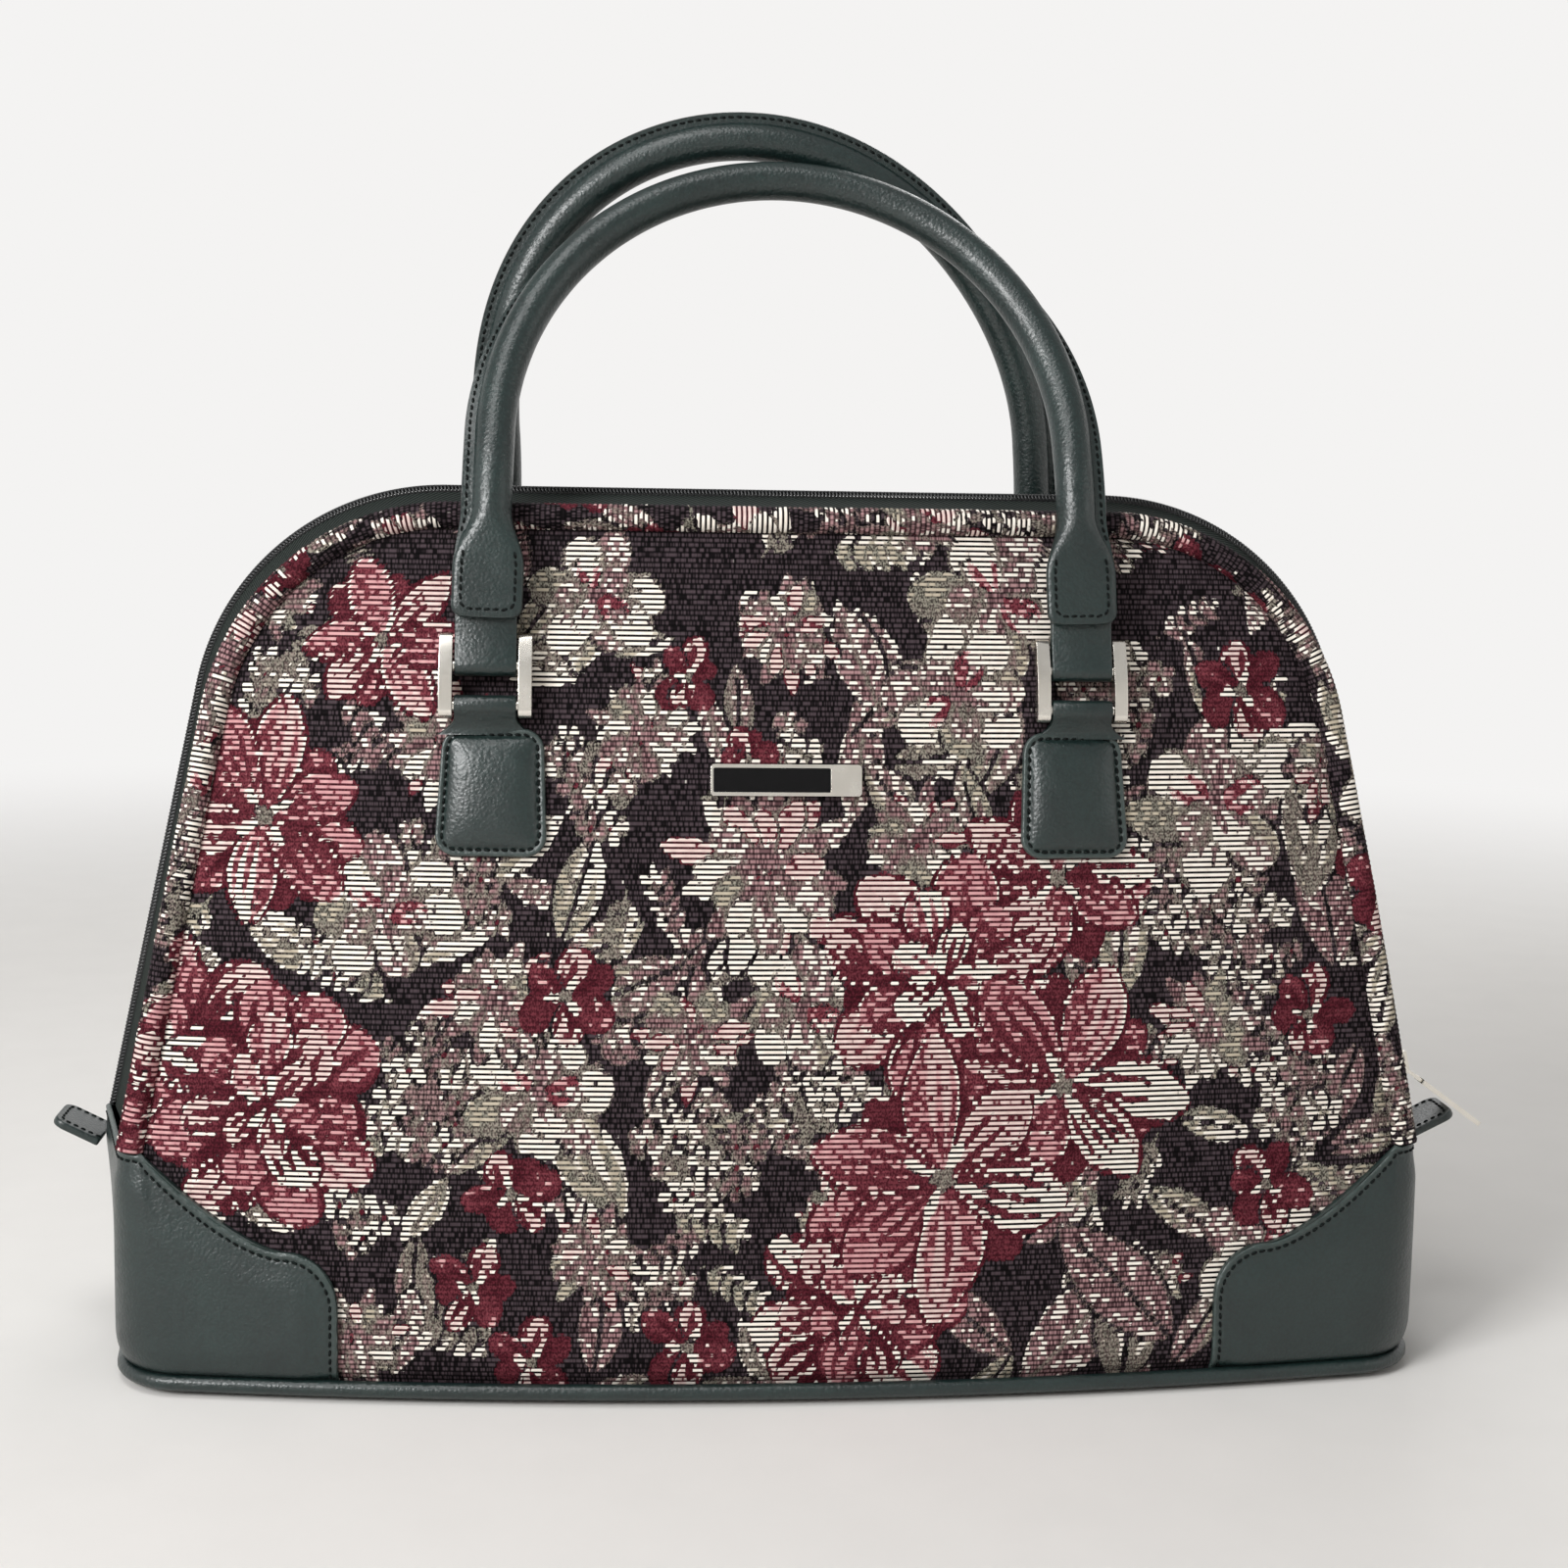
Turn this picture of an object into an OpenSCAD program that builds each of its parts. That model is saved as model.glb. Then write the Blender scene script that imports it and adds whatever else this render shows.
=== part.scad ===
// Carpet bag: a domed two-handled travel bag in floral tapestry with leather trim.
// Millimetres, +Z up. The origin is on the floor under the middle of the base,
// X runs along the bag's width and the front panel faces -Y.

/* [Panels] */
// Width of the front over its piping, at the foot of the zip
front_w = 500; // [470:1:530]
// Height of the front over its piping
front_h = 334; // [310:1:360]
// Radius of the front's shoulders over the piping
shoulder_r = 95; // [80:1:105]
// Lean of the front's sides from upright, degrees
side_lean = 10.3; // [8:0.1:12]
// Depth of the bag at the floor, between the middles of the panels
base_d = 190; // [175:1:210]
// Lean of the panels from upright at the height of their middle, degrees
panel_lean = 10; // [8:0.5:11]
// Height of the panels' middle
panel_mid = 167; // [150:1:185]
// Radius to which the filled panels bulge
bow_r = 1570; // [1300:10:2000]
// Thickness of the tapestry with its padding and lining
panel_t = 3; // [2:0.2:4]
// Diameter of the tapestry piping round the panels
piping_d = 10.4; // [8:0.2:12]

/* [Zip] */
// Rise of the zip's ridge above the top piping
zip_rise = 5.5; // [4:0.5:10]
// Bulge of the zip's ridge past the side piping at the foot of the zip
zip_bulge = 15.5; // [12:0.5:20]
// Added lean of the zip's ridge over the front's sides, degrees
zip_ease = 2.1; // [1:0.1:3.5]
// Added radius of the zip's ridge over the front's shoulders
zip_round = 5; // [0:1:12]
// Height of the foot of the zip
zip_foot = 91; // [85:1:100]
// Width of the closed zip chain
chain_w = 6; // [5:0.5:8]
// Thickness of the zip chain
chain_t = 2.4; // [2:0.1:3]
// Thickness of the zip tape
tape_t = 1.5; // [1:0.1:1.8]
// Length of the slider
slider_l = 14; // [12:0.5:18]
// Width of the slider at its wide end
slider_w = 10; // [9:0.5:12]
// Thickness of the slider's plates
slider_t = 1.6; // [1.2:0.1:2]
// Diameter of the round eye bar of the pull
eye_d = 1.8; // [1.6:0.1:2.2]
// Length of the pull from its eye bar to its tip
pull_l = 42; // [34:1:50]
// Width of the pull
pull_w = 9; // [8:0.5:11]
// Thickness of the pull
pull_t = 2; // [1.6:0.1:2.4]
// Angle of the hanging pull below level, degrees
pull_drop = 36; // [30:1:40]
// Length of the leather tabs at the zip's ends
zip_end_l = 20; // [14:1:26]
// Width of the leather tabs at the zip's ends
zip_end_w = 24; // [18:1:30]
// Thickness of the leather tabs at the zip's ends
zip_end_t = 3.2; // [2.4:0.2:4]
// Upward tilt of those tabs, degrees
zip_end_tilt = 27; // [20:1:30]

/* [Corner guards and base] */
// Width of a corner guard in from the side of the front
guard_w = 84; // [70:1:95]
// Height of the upright inner edge of a guard, from the floor
guard_edge = 35; // [28:1:45]
// Radius at the top of the inner edge
guard_round = 21; // [14:1:26]
// Thickness of the guard leather
guard_t = 1.8; // [1.2:0.1:2.4]
// Width of the bag at its foot, between the middles of the sides, over that of the front
foot_flare = 16; // [0:1:30]
// Plan radius of the corners at the foot
corner_foot_r = 28; // [22:1:36]
// Plan radius of the corners at the top of the guards
corner_top_r = 10; // [8:0.5:14]
// Slant of the sides in plan at the foot, degrees
slant_foot = 8; // [6:0.5:10]
// Slant of the sides in plan at the foot of the zip, degrees
slant_top = 16; // [14:0.5:18]
// Diameter of the leather piping round the base
base_piping_d = 6; // [5:0.5:8]
// Height of the middle of the base piping
base_piping_z = 5; // [4:0.5:7]
// Thickness of the base leather
base_t = 3; // [2:0.2:3.6]
// Thickness of the stiffening board in the base
board_t = 3; // [2:0.2:4]
// Distance of the board's edge in from the outer wall
board_inset = 9; // [7:1:14]

/* [Handle fittings] */
// Distance between the middles of the two fittings of a handle
fitting_gap = 225; // [205:1:240]
// Drop of the lower bar of a link ring below the top of the front
bar_drop = 75; // [68:1:89]
// Distance from the panel to the middle of the lower bar
bar_standoff = 6.4; // [6:0.1:8]
// Distance between the two bars of a link ring
bar_gap = 15; // [13:0.5:18]
// Diameter of the bars
bar_d = 4; // [3.4:0.1:4.4]
// Clear width between the side plates of a link ring
ring_gap = 24.5; // [24:0.5:28]
// Width of the side plates
ring_plate_w = 6.5; // [6:0.5:8]
// Thickness of the side plates
ring_plate_t = 5; // [2:0.2:6]
// Reach of the side plates above the upper bar
ring_up = 12.5; // [9:0.5:14]
// Reach of the side plates below the lower bar
ring_down = 4.6; // [4:0.1:5]
// Radius to which the side plates are arched
ring_arch = 60; // [45:1:90]
// Width of the leather straps that pass through the rings
strap_w = 23; // [18:0.5:23.5]
// Thickness of the strap leather
strap_t = 1.8; // [1.4:0.1:2]
// Width of the padded tabs on the panels
tab_w = 40; // [34:1:46]
// Height of the padded tabs
tab_h = 48; // [40:1:56]
// Corner radius of the padded tabs
tab_round = 8; // [5:0.5:12]
// Height of the padded tabs' crown above the panel
tab_crown = 5.4; // [5:0.1:6]
// Distance of a tab's top edge below the lower bar
tab_drop = 8.5; // [8:0.5:11]

/* [Handles] */
// Reach of a handle from its fitting to the middle of its grip
handle_l = 206; // [190:1:225]
// Height of the arched part of a handle
arch_h = 120; // [100:1:130]
// Width between the middles of a handle's legs at the arch
arch_w = 220; // [200:1:235]
// Diameter of the rolled leather grip
grip_d = 15; // [13:0.5:16]
// Width of the stitched flange on the outside of the grip
flange_w = 4; // [3:0.5:6]
// Thickness of the flange
flange_t = 2.6; // [2:0.2:3.4]
// Roll of the front grip's flange towards the back at its top, degrees
flange_roll = 55; // [0:5:70]
// Lean of the front handle's legs where they pass the piping, degrees
leg_lean = 10; // [7:0.5:11]
// Lean of the front handle's arch against the back handle, degrees
arch_lean = 29; // [20:1:29]
// Lean of the back handle, degrees
back_lean = 5.5; // [3:0.5:7]
// Start of the flat tongue above the upper bar
tongue_from = 17.5; // [16:0.5:20]
// Length of the flat tongue
tongue_l = 19; // [14:1:24]
// Width of the flat tongue
tongue_w = 26; // [22:0.5:28]
// Thickness of the flat tongue
tongue_t = 4.4; // [3.6:0.2:5]
// Length over which the tongue rounds into the grip
blend_l = 22; // [18:1:28]

/* [Name plate] */
// Length of the plate
plate_l = 57; // [45:1:70]
// Height of the plate
plate_h = 12; // [10:0.5:16]
// Thickness of the plate
plate_t = 2; // [1.6:0.2:3]
// Drop of the plate's middle below the top of the front
plate_drop = 102; // [89:1:119]
// Length of the black enamel field at the left of the plate
enamel_l = 44; // [30:1:50]
// Height of the black enamel field
enamel_h = 9; // [6:0.5:9.5]

/* [Clearances] */
// Gap at sewn edges and between stacked leather
seam_gap = 0.2; // [0.1:0.05:0.3]
// Radial play of the straps on the bars
bar_play = 0.1; // [0.05:0.05:0.2]
// Running gap of the slider on the chain and of the pull in its bail
slide_play = 0.4; // [0.3:0.05:0.6]

/* [Hidden] */
$fn = 64;
leather = "#2e3a38";
tapestry = "#6b5560";
nickel = "#c9c6bf";
black = "#17181a";

// The filled front panel is a piece of a large ball with its middle at [0, ball_y, ball_z].
ball_z = panel_mid - bow_r * sin(panel_lean);
ball_y = sqrt(bow_r * bow_r - ball_z * ball_z) - base_d / 2;
function skin_y(x, z, out = 0) =
    ball_y - sqrt(pow(bow_r + out, 2) - x * x - pow(z - ball_z, 2));
function skin_tilt(z) = asin((z - ball_z) / bow_r);

// A dome is [half width at the zip foot, side lean, shoulder radius, height].
front_dome = [front_w / 2, side_lean, shoulder_r, front_h];
ridge_dome = [front_w / 2 + zip_bulge, side_lean + zip_ease, shoulder_r + zip_round,
    front_h + zip_rise];
function grown(d, g) = [d[0] + g / cos(d[1]), d[1], d[2] + g, d[3] + g];
function dome_x(d, z) = d[0] - (z - zip_foot) * tan(d[1]);
function dome_cz(d) = d[3] - d[2];
function dome_cx(d) = dome_x(d, dome_cz(d)) - d[2] / cos(d[1]);
module dome(d) {
    cx = dome_cx(d);
    cz = dome_cz(d);
    tx = cx + d[2] * cos(d[1]);
    tz = cz + d[2] * sin(d[1]);
    polygon([[-d[0], zip_foot], [d[0], zip_foot], [tx, tz], [cx, d[3]],
        [-cx, d[3]], [-tx, tz]]);
    for (s = [-1, 1]) translate([s * cx, cz]) circle(d[2], $fn = 180);
}
// Points [x, z] along a dome from the right foot over the top to the left foot.
function dome_half(d) = let(cx = dome_cx(d), cz = dome_cz(d), tz = cz + d[2] * sin(d[1]))
    concat([for (i = [0:7]) let(z = zip_foot + (tz - zip_foot) * i / 8) [dome_x(d, z), z]],
        [for (i = [0:14]) let(a = d[1] + (90 - d[1]) * i / 14)
            [cx + d[2] * cos(a), cz + d[2] * sin(a)]],
        [for (i = [1:3]) [cx * (1 - i / 4), d[3]]]);
function dome_path(d) = let(h = dome_half(d), n = len(h))
    concat(h, [[0, d[3]]], [for (i = [n - 1:-1:0]) [-h[i][0], h[i][1]]]);

// Plan of the walls at height z: bowed front, round corner, slanted side.
foot_w = front_w + foot_flare;
wall_foot = base_piping_z + base_piping_d / 2 + seam_gap / 2;
guard_top = zip_foot - seam_gap - piping_d / 2 * sin(side_lean);
function part_up(z) = (z - wall_foot) / (guard_top - wall_foot);
function corner_r(z) = corner_foot_r + (corner_top_r - corner_foot_r) * part_up(z);
function slant(z) = slant_foot + (slant_top - slant_foot) * part_up(z);
function side_x(z) = foot_w / 2 + (ridge_dome[0] - foot_w / 2) * part_up(z);
function corner_mid(z) =
    let(r = corner_r(z), b = tan(slant(z)), a = side_x(z) - r / cos(slant(z)),
        reach = sqrt(bow_r * bow_r - pow(z - ball_z, 2)) - r,
        y = (ball_y - a * b - sqrt(pow(ball_y - a * b, 2)
            - (1 + b * b) * (a * a + ball_y * ball_y - reach * reach))) / (1 + b * b))
    [a + b * y, y];
function corner_turn(z) = let(c = corner_mid(z)) atan(c[0] / (ball_y - c[1]));
function corner_x(z, out = 0) = corner_mid(z)[0] + (corner_r(z) + out) * sin(corner_turn(z));
// A point of the wall: s 0 to 1 runs along the front from x0 to the corner, 1 to 2 round
// the corner and 2 to 3 along the side to the seam in its middle.
function wall_pt(z, s, out, x0) =
    let(c = corner_mid(z), r = corner_r(z) + out, t0 = corner_turn(z), t1 = 90 - slant(z),
        t = t0 + (t1 - t0) * min(s - 1, 1),
        e = [c[0] + r * sin(t1), c[1] - r * cos(t1)],
        m = [side_x(z) + out / cos(slant(z)) - seam_gap * tan(slant(z)), -seam_gap])
    s <= 1 ? let(x = x0 + (corner_x(z, out) - x0) * s) [x, skin_y(x, z, out), z]
    : s <= 2 ? [c[0] + r * sin(t), c[1] - r * cos(t), z]
    : [e[0] + (m[0] - e[0]) * (s - 2), e[1] + (m[1] - e[1]) * (s - 2), z];
// The closed plan of the base, with its edge moved out by a distance.
plan_steps = [for (i = [0:6]) i / 7, for (i = [0:5]) 1 + i / 6, 2, 2.5];
function plan_quarter(out) = [for (s = plan_steps) wall_pt(wall_foot, s, out, 0)];
function base_plan(out) = let(q = plan_quarter(out), n = len(q),
        m = [side_x(wall_foot) + out / cos(slant_foot) - seam_gap * tan(slant_foot), 0])
    concat([for (p = q) [p[0], p[1]]], [m], [for (i = [n - 1:-1:0]) [q[i][0], -q[i][1]]],
        [for (i = [1:n - 1]) [-q[i][0], -q[i][1]]], [-m],
        [for (i = [n - 1:-1:1]) [-q[i][0], q[i][1]]]);

// Fittings: the bars of a link ring lie along X.
fitting_x = fitting_gap / 2;
lower_bar_z = front_h - bar_drop;
lower_bar_y = skin_y(fitting_x, lower_bar_z) - bar_standoff;
ring_lean = skin_tilt(lower_bar_z + bar_gap / 2);
upper_bar_y = lower_bar_y + bar_gap * sin(ring_lean);
upper_bar_z = lower_bar_z + bar_gap * cos(ring_lean);
bore_r = bar_d / 2 + bar_play;
loop_r = bore_r + strap_t;
slider_z = zip_foot + slider_l;
track_lean = ridge_dome[1];
eye_out = slider_t + slide_play + eye_d;
eye_low = slider_l / 8;
bail_w = 2.4;
plate_seat = seam_gap + plate_l * plate_l / (8 * bow_r);

// A closed skin over a row of rings of points. Point j of a ring faces point -j across it.
module skin(rings, loop = false) {
    n = len(rings);
    m = len(rings[0]);
    sides = [for (i = [0:loop ? n - 1 : n - 2], j = [0:m - 1])
        let(a = i * m, b = ((i + 1) % n) * m, k = (j + 1) % m)
        each [[a + j, a + k, b + k], [a + j, b + k, b + j]]];
    ends = loop ? [] : [for (j = [0:m / 2 - 2]) let(k = m - 1 - j, e = (n - 1) * m)
        each [[j + 1, j, k], [j + 1, k, k - 1],
            [e + j, e + j + 1, e + k], [e + j + 1, e + k - 1, e + k]]];
    polyhedron([for (r = rings) each r], concat(sides, ends));
}
function unit(v) = v / norm(v);
function along(path, i, loop = false) = let(n = len(path))
    unit(path[loop ? (i + 1) % n : min(i + 1, n - 1)]
        - path[loop ? (i + n - 1) % n : max(i - 1, 0)]);
// Rings of a round tube along a path that never runs along the given direction.
function tube(path, r, sides, away, loop = false) =
    [for (i = [0:len(path) - 1]) let(t = along(path, i, loop), u = unit(cross(t, away)),
        v = cross(t, u))
        [for (k = [0:sides - 1]) let(a = (k + 0.5) * 360 / sides)
            path[i] + r * (u * cos(a) + v * sin(a))]];
module as_back() { mirror([0, 1, 0]) children(); }
module as_left() { mirror([1, 0, 0]) children(); }
// The panel's share of the ball's shell.
module shell() {
    low = asin(-ball_z / bow_r) - 2;
    high = asin((front_h + 20 - ball_z) / bow_r) + 1;
    wide = asin(front_w / 2 / bow_r) + 2;
    translate([0, ball_y, ball_z]) rotate([0, 0, 270 - wide])
        rotate_extrude(angle = 2 * wide, $fn = 256) intersection() {
            difference() {
                circle(bow_r, $fn = 256);
                circle(bow_r - panel_t, $fn = 256);
            }
            polygon([[0, 0], 2 * bow_r * [cos(low), sin(low)], 2 * bow_r * [cos(high), sin(high)]]);
        }
}
// Places a piece on the front panel's skin: X along it, Z up it, -Y out of it.
module on_skin(x, z) {
    translate([0, ball_y, ball_z]) rotate([0, 0, asin(x / bow_r)]) rotate([-skin_tilt(z), 0, 0])
        translate([0, -bow_r, 0]) children();
}
// Stands a flat outline in X and Z up, from the front to short of the middle.
module upright() { translate([0, -1, 0]) rotate([90, 0, 0]) linear_extrude(base_d) children(); }
// Stands a flat outline in Y and Z up, over a width in X.
module across(w) { translate([-w / 2, 0, 0]) rotate([90, 0, 90]) linear_extrude(w) children(); }
module rounded(w, h, r) {
    square([w - 2 * r, h], center = true);
    square([w, h - 2 * r], center = true);
    for (x = [-1, 1], y = [-1, 1]) translate([x * (w / 2 - r), y * (h / 2 - r)]) circle(r);
}

// Tapestry panel, with its lower corners drawn in under the guards.
module panel() {
    foot_x = corner_x(wall_foot) - panel_t;
    intersection() {
        shell();
        upright() polygon(concat(dome_path(grown(front_dome, -piping_d - seam_gap)),
            [[-foot_x, wall_foot], [foot_x, wall_foot]]));
    }
}
function piping_path() = [for (p = dome_path(grown(front_dome, -piping_d / 2)))
    [p[0], skin_y(p[0], p[1], -panel_t / 2), p[1]]];
module piping() { skin(tube(piping_path(), piping_d / 2, 10, [0, 1, 0])); }

// Leather guard round a lower corner.
guard_in = front_w / 2 - guard_w;
guard_knee = guard_edge + guard_round;
function guard_rim(x, x1) = x < guard_in + guard_round
    ? guard_edge + sqrt(max(0, pow(guard_round, 2) - pow(guard_in + guard_round - x, 2)))
    : guard_knee + (guard_top - guard_knee)
        * pow((x - guard_in - guard_round) / (x1 - guard_in - guard_round), 1.54);
module corner_guard() {
    x1 = corner_x(guard_top);
    knee_s = guard_round / (x1 - guard_in);
    steps = concat([for (a = [0:18:90]) knee_s * (1 - cos(a))],
        [for (i = [1:7]) knee_s + (1 - knee_s) * i / 7], [for (i = [1:5]) 1 + i / 5], [2.5, 3]);
    rows = 6;
    skin([for (s = steps)
        let(top = s < 1 ? guard_rim(guard_in + (x1 - guard_in) * s, x1) : guard_top,
            zs = [for (k = [0:rows]) wall_foot + (top - wall_foot) * k / rows])
        concat([for (k = [rows:-1:0]) wall_pt(zs[k], s, seam_gap + guard_t, guard_in)],
            [for (k = [0:rows]) wall_pt(zs[k], s, seam_gap, guard_in)])]);
}

// Half of the zip's tape, between the piping and the chain.
module zip_tape() {
    a = piping_path();
    b = [for (p = dome_path(grown(ridge_dome, -chain_t / 2)))
        [p[0], -chain_w / 2 - seam_gap - tape_t / 8, p[1]]];
    skin([for (i = [0:len(a) - 1])
        let(d = unit(b[i] - a[i]), n = unit(cross(d, along(a, i))) * tape_t / 2,
            e = a[i] + d * (piping_d / 2 + seam_gap))
        [e - n, b[i] - n, b[i] + n, e + n]]);
}

// Places a piece on the right-hand straight of the zip: X out, Z up the track.
module on_track() {
    translate([dome_x(ridge_dome, slider_z), 0, slider_z]) rotate([0, -track_lean, 0]) children();
}
// A flat outline in the track's Y and Z, thick from x0 outwards.
module track_plate(x0, t) { translate([x0 + t / 2, 0, 0]) across(t) children(); }
module slider_outline() {
    h = slider_l / 2;
    polygon([[-slider_w / 2, -h + 3], [-slider_w / 2 + 2, -h], [slider_w / 2 - 2, -h],
        [slider_w / 2, -h + 3], [slider_w / 2 - 1.2, h - 1], [slider_w / 2 - 2.2, h],
        [-slider_w / 2 + 2.2, h], [-slider_w / 2 + 1.2, h - 1]]);
}
module slider_body() {
    h = slider_l / 2;
    low = -chain_t - slide_play - slider_t;
    hole_out = eye_out + eye_d / 2 + slide_play;
    track_plate(slide_play, slider_t) slider_outline();
    track_plate(low, slider_t) slider_outline();
    // Wedge between the plates, which parts the chain.
    track_plate(low + slider_t / 2, chain_t + 2 * slide_play + slider_t)
        polygon([[-2, -h + 0.6], [2, -h + 0.6], [0, -0.6]]);
    // Bail over the pull's eye.
    difference() {
        translate([0, bail_w / 2, 0]) rotate([90, 0, 0]) linear_extrude(bail_w) {
            translate([slide_play + slider_t / 2, -h * 0.7])
                square([hole_out + 0.2 - slider_t / 2, h * 1.4]);
            translate([hole_out + slide_play - 0.2, 0]) rotate(90) rounded(h * 1.4, 2, 0.9);
        }
        translate([(slide_play + slider_t + hole_out) / 2, 0, 0]) rotate([90, 0, 0])
            linear_extrude(2 * bail_w, center = true)
            square([hole_out - slide_play - slider_t, h * 0.92], center = true);
    }
}
// Places the pull: X along it from the eye, Z out of its outer face.
module on_pull() {
    on_track() translate([eye_out, 0, -eye_low]) rotate([0, track_lean + pull_drop, 0]) children();
}
frame_from = pull_l * 0.2;
inlay_l = pull_l * 0.4;
inlay_w = pull_w - 4;
inlay_from = pull_l - inlay_l - 5;
inlay_t = pull_t * 0.4;
module inlay_place() { translate([inlay_from + inlay_l / 2, 0, pull_t / 2 - inlay_t]) children(); }
module pull_frame() {
    arm = (pull_w - bail_w) / 2 - 2 * slide_play;
    rotate([90, 0, 0]) cylinder(d = eye_d, h = pull_w - 2 * slide_play, center = true);
    for (s = [-1, 1]) translate([frame_from / 2, s * (bail_w / 2 + slide_play + arm / 2), 0])
        cube([frame_from + 0.4, arm, eye_d * 0.8], center = true);
    difference() {
        translate([(frame_from + pull_l) / 2, 0, -pull_t / 2]) linear_extrude(pull_t)
            rounded(pull_l - frame_from, pull_w, 2.4);
        inlay_place() linear_extrude(pull_t) rounded(inlay_l + 0.1, inlay_w + 0.1, 0.8);
    }
}

// Leather tab at the foot of the zip, on the right. Its raised tip stays under the hanging pull.
eye_x = dome_x(ridge_dome, slider_z) + eye_out * cos(track_lean) + eye_low * sin(track_lean);
eye_z = slider_z + eye_out * sin(track_lean) - eye_low * cos(track_lean);
function pull_under(x) = eye_z - (x - eye_x) * tan(pull_drop) - pull_t / 2 / cos(pull_drop);
zip_end_x = side_x(zip_foot - slider_l) + seam_gap * 2 + guard_t + zip_end_t / 2;
tip_x = zip_end_l * cos(zip_end_tilt) - zip_end_t / 2 * sin(zip_end_tilt);
tip_z = zip_end_l * sin(zip_end_tilt) + zip_end_t / 2 * cos(zip_end_tilt);
zip_end_seat = pull_under(zip_end_x + tip_x) - 2 * slide_play - tip_z;
module zip_end(tilt) {
    translate([zip_end_x, 0, zip_end_seat])
        rotate([0, -tilt, 0]) translate([0, 0, -zip_end_t / 2]) linear_extrude(zip_end_t) {
            translate([0, -zip_end_w / 2]) square([zip_end_l - 5, zip_end_w]);
            translate([zip_end_l / 2, 0]) rounded(zip_end_l, zip_end_w, 5);
        }
}

// Padded tab sewn to the panel, with its strap round the lower bar.
module tab() {
    top = lower_bar_z - tab_drop;
    crown_r = pow(tab_h / 2, 2) / (tab_crown - 2.4);
    nape = skin_y(fitting_x - strap_w / 2, top - 4) - seam_gap;
    difference() {
        union() {
            on_skin(fitting_x, top - tab_h / 2) intersection() {
                translate([0, -seam_gap, 0]) rotate([90, 0, 0]) linear_extrude(2 * tab_crown)
                    rounded(tab_w, tab_h, tab_round);
                translate([0, crown_r - tab_crown, 0]) sphere(crown_r, $fn = 256);
            }
            // Both layers of the strap, drawn out to the loop.
            translate([fitting_x, 0, 0]) across(strap_w)
                polygon([[nape - 2 * strap_t, top - 4], [nape - seam_gap, top - 4],
                    [lower_bar_y + loop_r * 0.86, lower_bar_z - loop_r * 0.5],
                    [lower_bar_y, lower_bar_z],
                    [lower_bar_y - loop_r * 0.94, lower_bar_z - loop_r * 0.34]]);
            translate([fitting_x, lower_bar_y, lower_bar_z]) rotate([0, 90, 0])
                cylinder(r = loop_r, h = strap_w, center = true);
        }
        translate([fitting_x, lower_bar_y, lower_bar_z]) rotate([0, 90, 0])
            cylinder(r = bore_r, h = tab_w, center = true);
    }
}

// Link ring: two arched side plates on two bars.
module ring() {
    bow = sqrt(pow(ring_arch, 2) - pow(bar_gap / 2, 2));
    w = ring_plate_w / 2;
    low = asin((bar_gap / 2 + ring_down - w) / ring_arch);
    high = asin((bar_gap / 2 + ring_up - w) / ring_arch);
    translate([fitting_x, lower_bar_y, lower_bar_z]) rotate([-ring_lean, 0, 0]) {
        for (s = [-1, 1]) translate([s * (ring_gap + ring_plate_t) / 2, bow, bar_gap / 2])
            across(ring_plate_t) {
                intersection() {
                    difference() {
                        circle(ring_arch + w, $fn = 180);
                        circle(ring_arch - w, $fn = 180);
                    }
                    polygon([[0, 0], 2 * ring_arch * [-cos(low), -sin(low)],
                        2 * ring_arch * [-cos(high), sin(high)]]);
                }
                translate(ring_arch * [-cos(low), -sin(low)]) circle(w);
                translate(ring_arch * [-cos(high), sin(high)]) circle(w);
            }
        for (z = [0, bar_gap]) translate([0, 0, z]) rotate([0, 90, 0])
            cylinder(d = bar_d, h = ring_gap + ring_plate_t, center = true);
    }
}

// The run of a handle in its own height: [y, z] from the upper bar at distance t up it.
bend_from = handle_l * 0.28;
bend_to = handle_l * 0.43;
function run(t, low, high) =
    let(k = (high - low) / (bend_to - bend_from), r = abs(k) > 0.01 ? 180 / (PI * k) : 0,
        a = low + k * (min(t, bend_to) - bend_from),
        straight = min(t, bend_from) * [sin(low), cos(low)],
        arc = t <= bend_from ? [0, 0] : abs(k) > 0.01
            ? r * [cos(low) - cos(a), sin(a) - sin(low)]
            : (min(t, bend_to) - bend_from) * [sin(low), cos(low)],
        rest = max(0, t - bend_to) * [sin(high), cos(high)])
    straight + arc + rest;
function run_lean(t, low, high) = t <= bend_from ? low : t >= bend_to ? high
    : low + (high - low) * (t - bend_from) / (bend_to - bend_from);
function ease(t) = let(c = min(1, max(0, t))) c * c * (3 - 2 * c);
// Section of a handle, half width a and half thickness b, with a flange of width f.
function grip_section(a, b, f) = concat(
    [[a + f, flange_t / 2], [a * 0.96, flange_t / 2 + (b - flange_t / 2) * 0.12]],
    [for (i = [1:5]) let(t = 33 * i - 4) [a * cos(t), b * pow(sin(t), a > b * 1.14 ? 0.5 : 1)]],
    [for (i = [5:-1:1]) let(t = 33 * i - 4) [a * cos(t), -b * pow(sin(t), a > b * 1.14 ? 0.5 : 1)]],
    [[a * 0.96, -flange_t / 2 - (b - flange_t / 2) * 0.12], [a + f, -flange_t / 2]]);
leg_l = handle_l - arch_h;
leg_steps = [0, 0.12, 0.5, 1, 1.15, 1.35, 1.6, 1.85, 2.1];
function handle_half() = concat(
    [for (k = leg_steps) let(t = k <= 1 ? tongue_from + tongue_l * k
            : tongue_from + tongue_l + blend_l * (k - 1), q = t / leg_l)
        [fitting_x + (arch_w / 2 - fitting_x) * min(q, 1), t, 0]],
    [for (i = [0:13]) let(p = 90 * i / 14) [arch_w / 2 * cos(p), leg_l + arch_h * sin(p), p]]);
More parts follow.
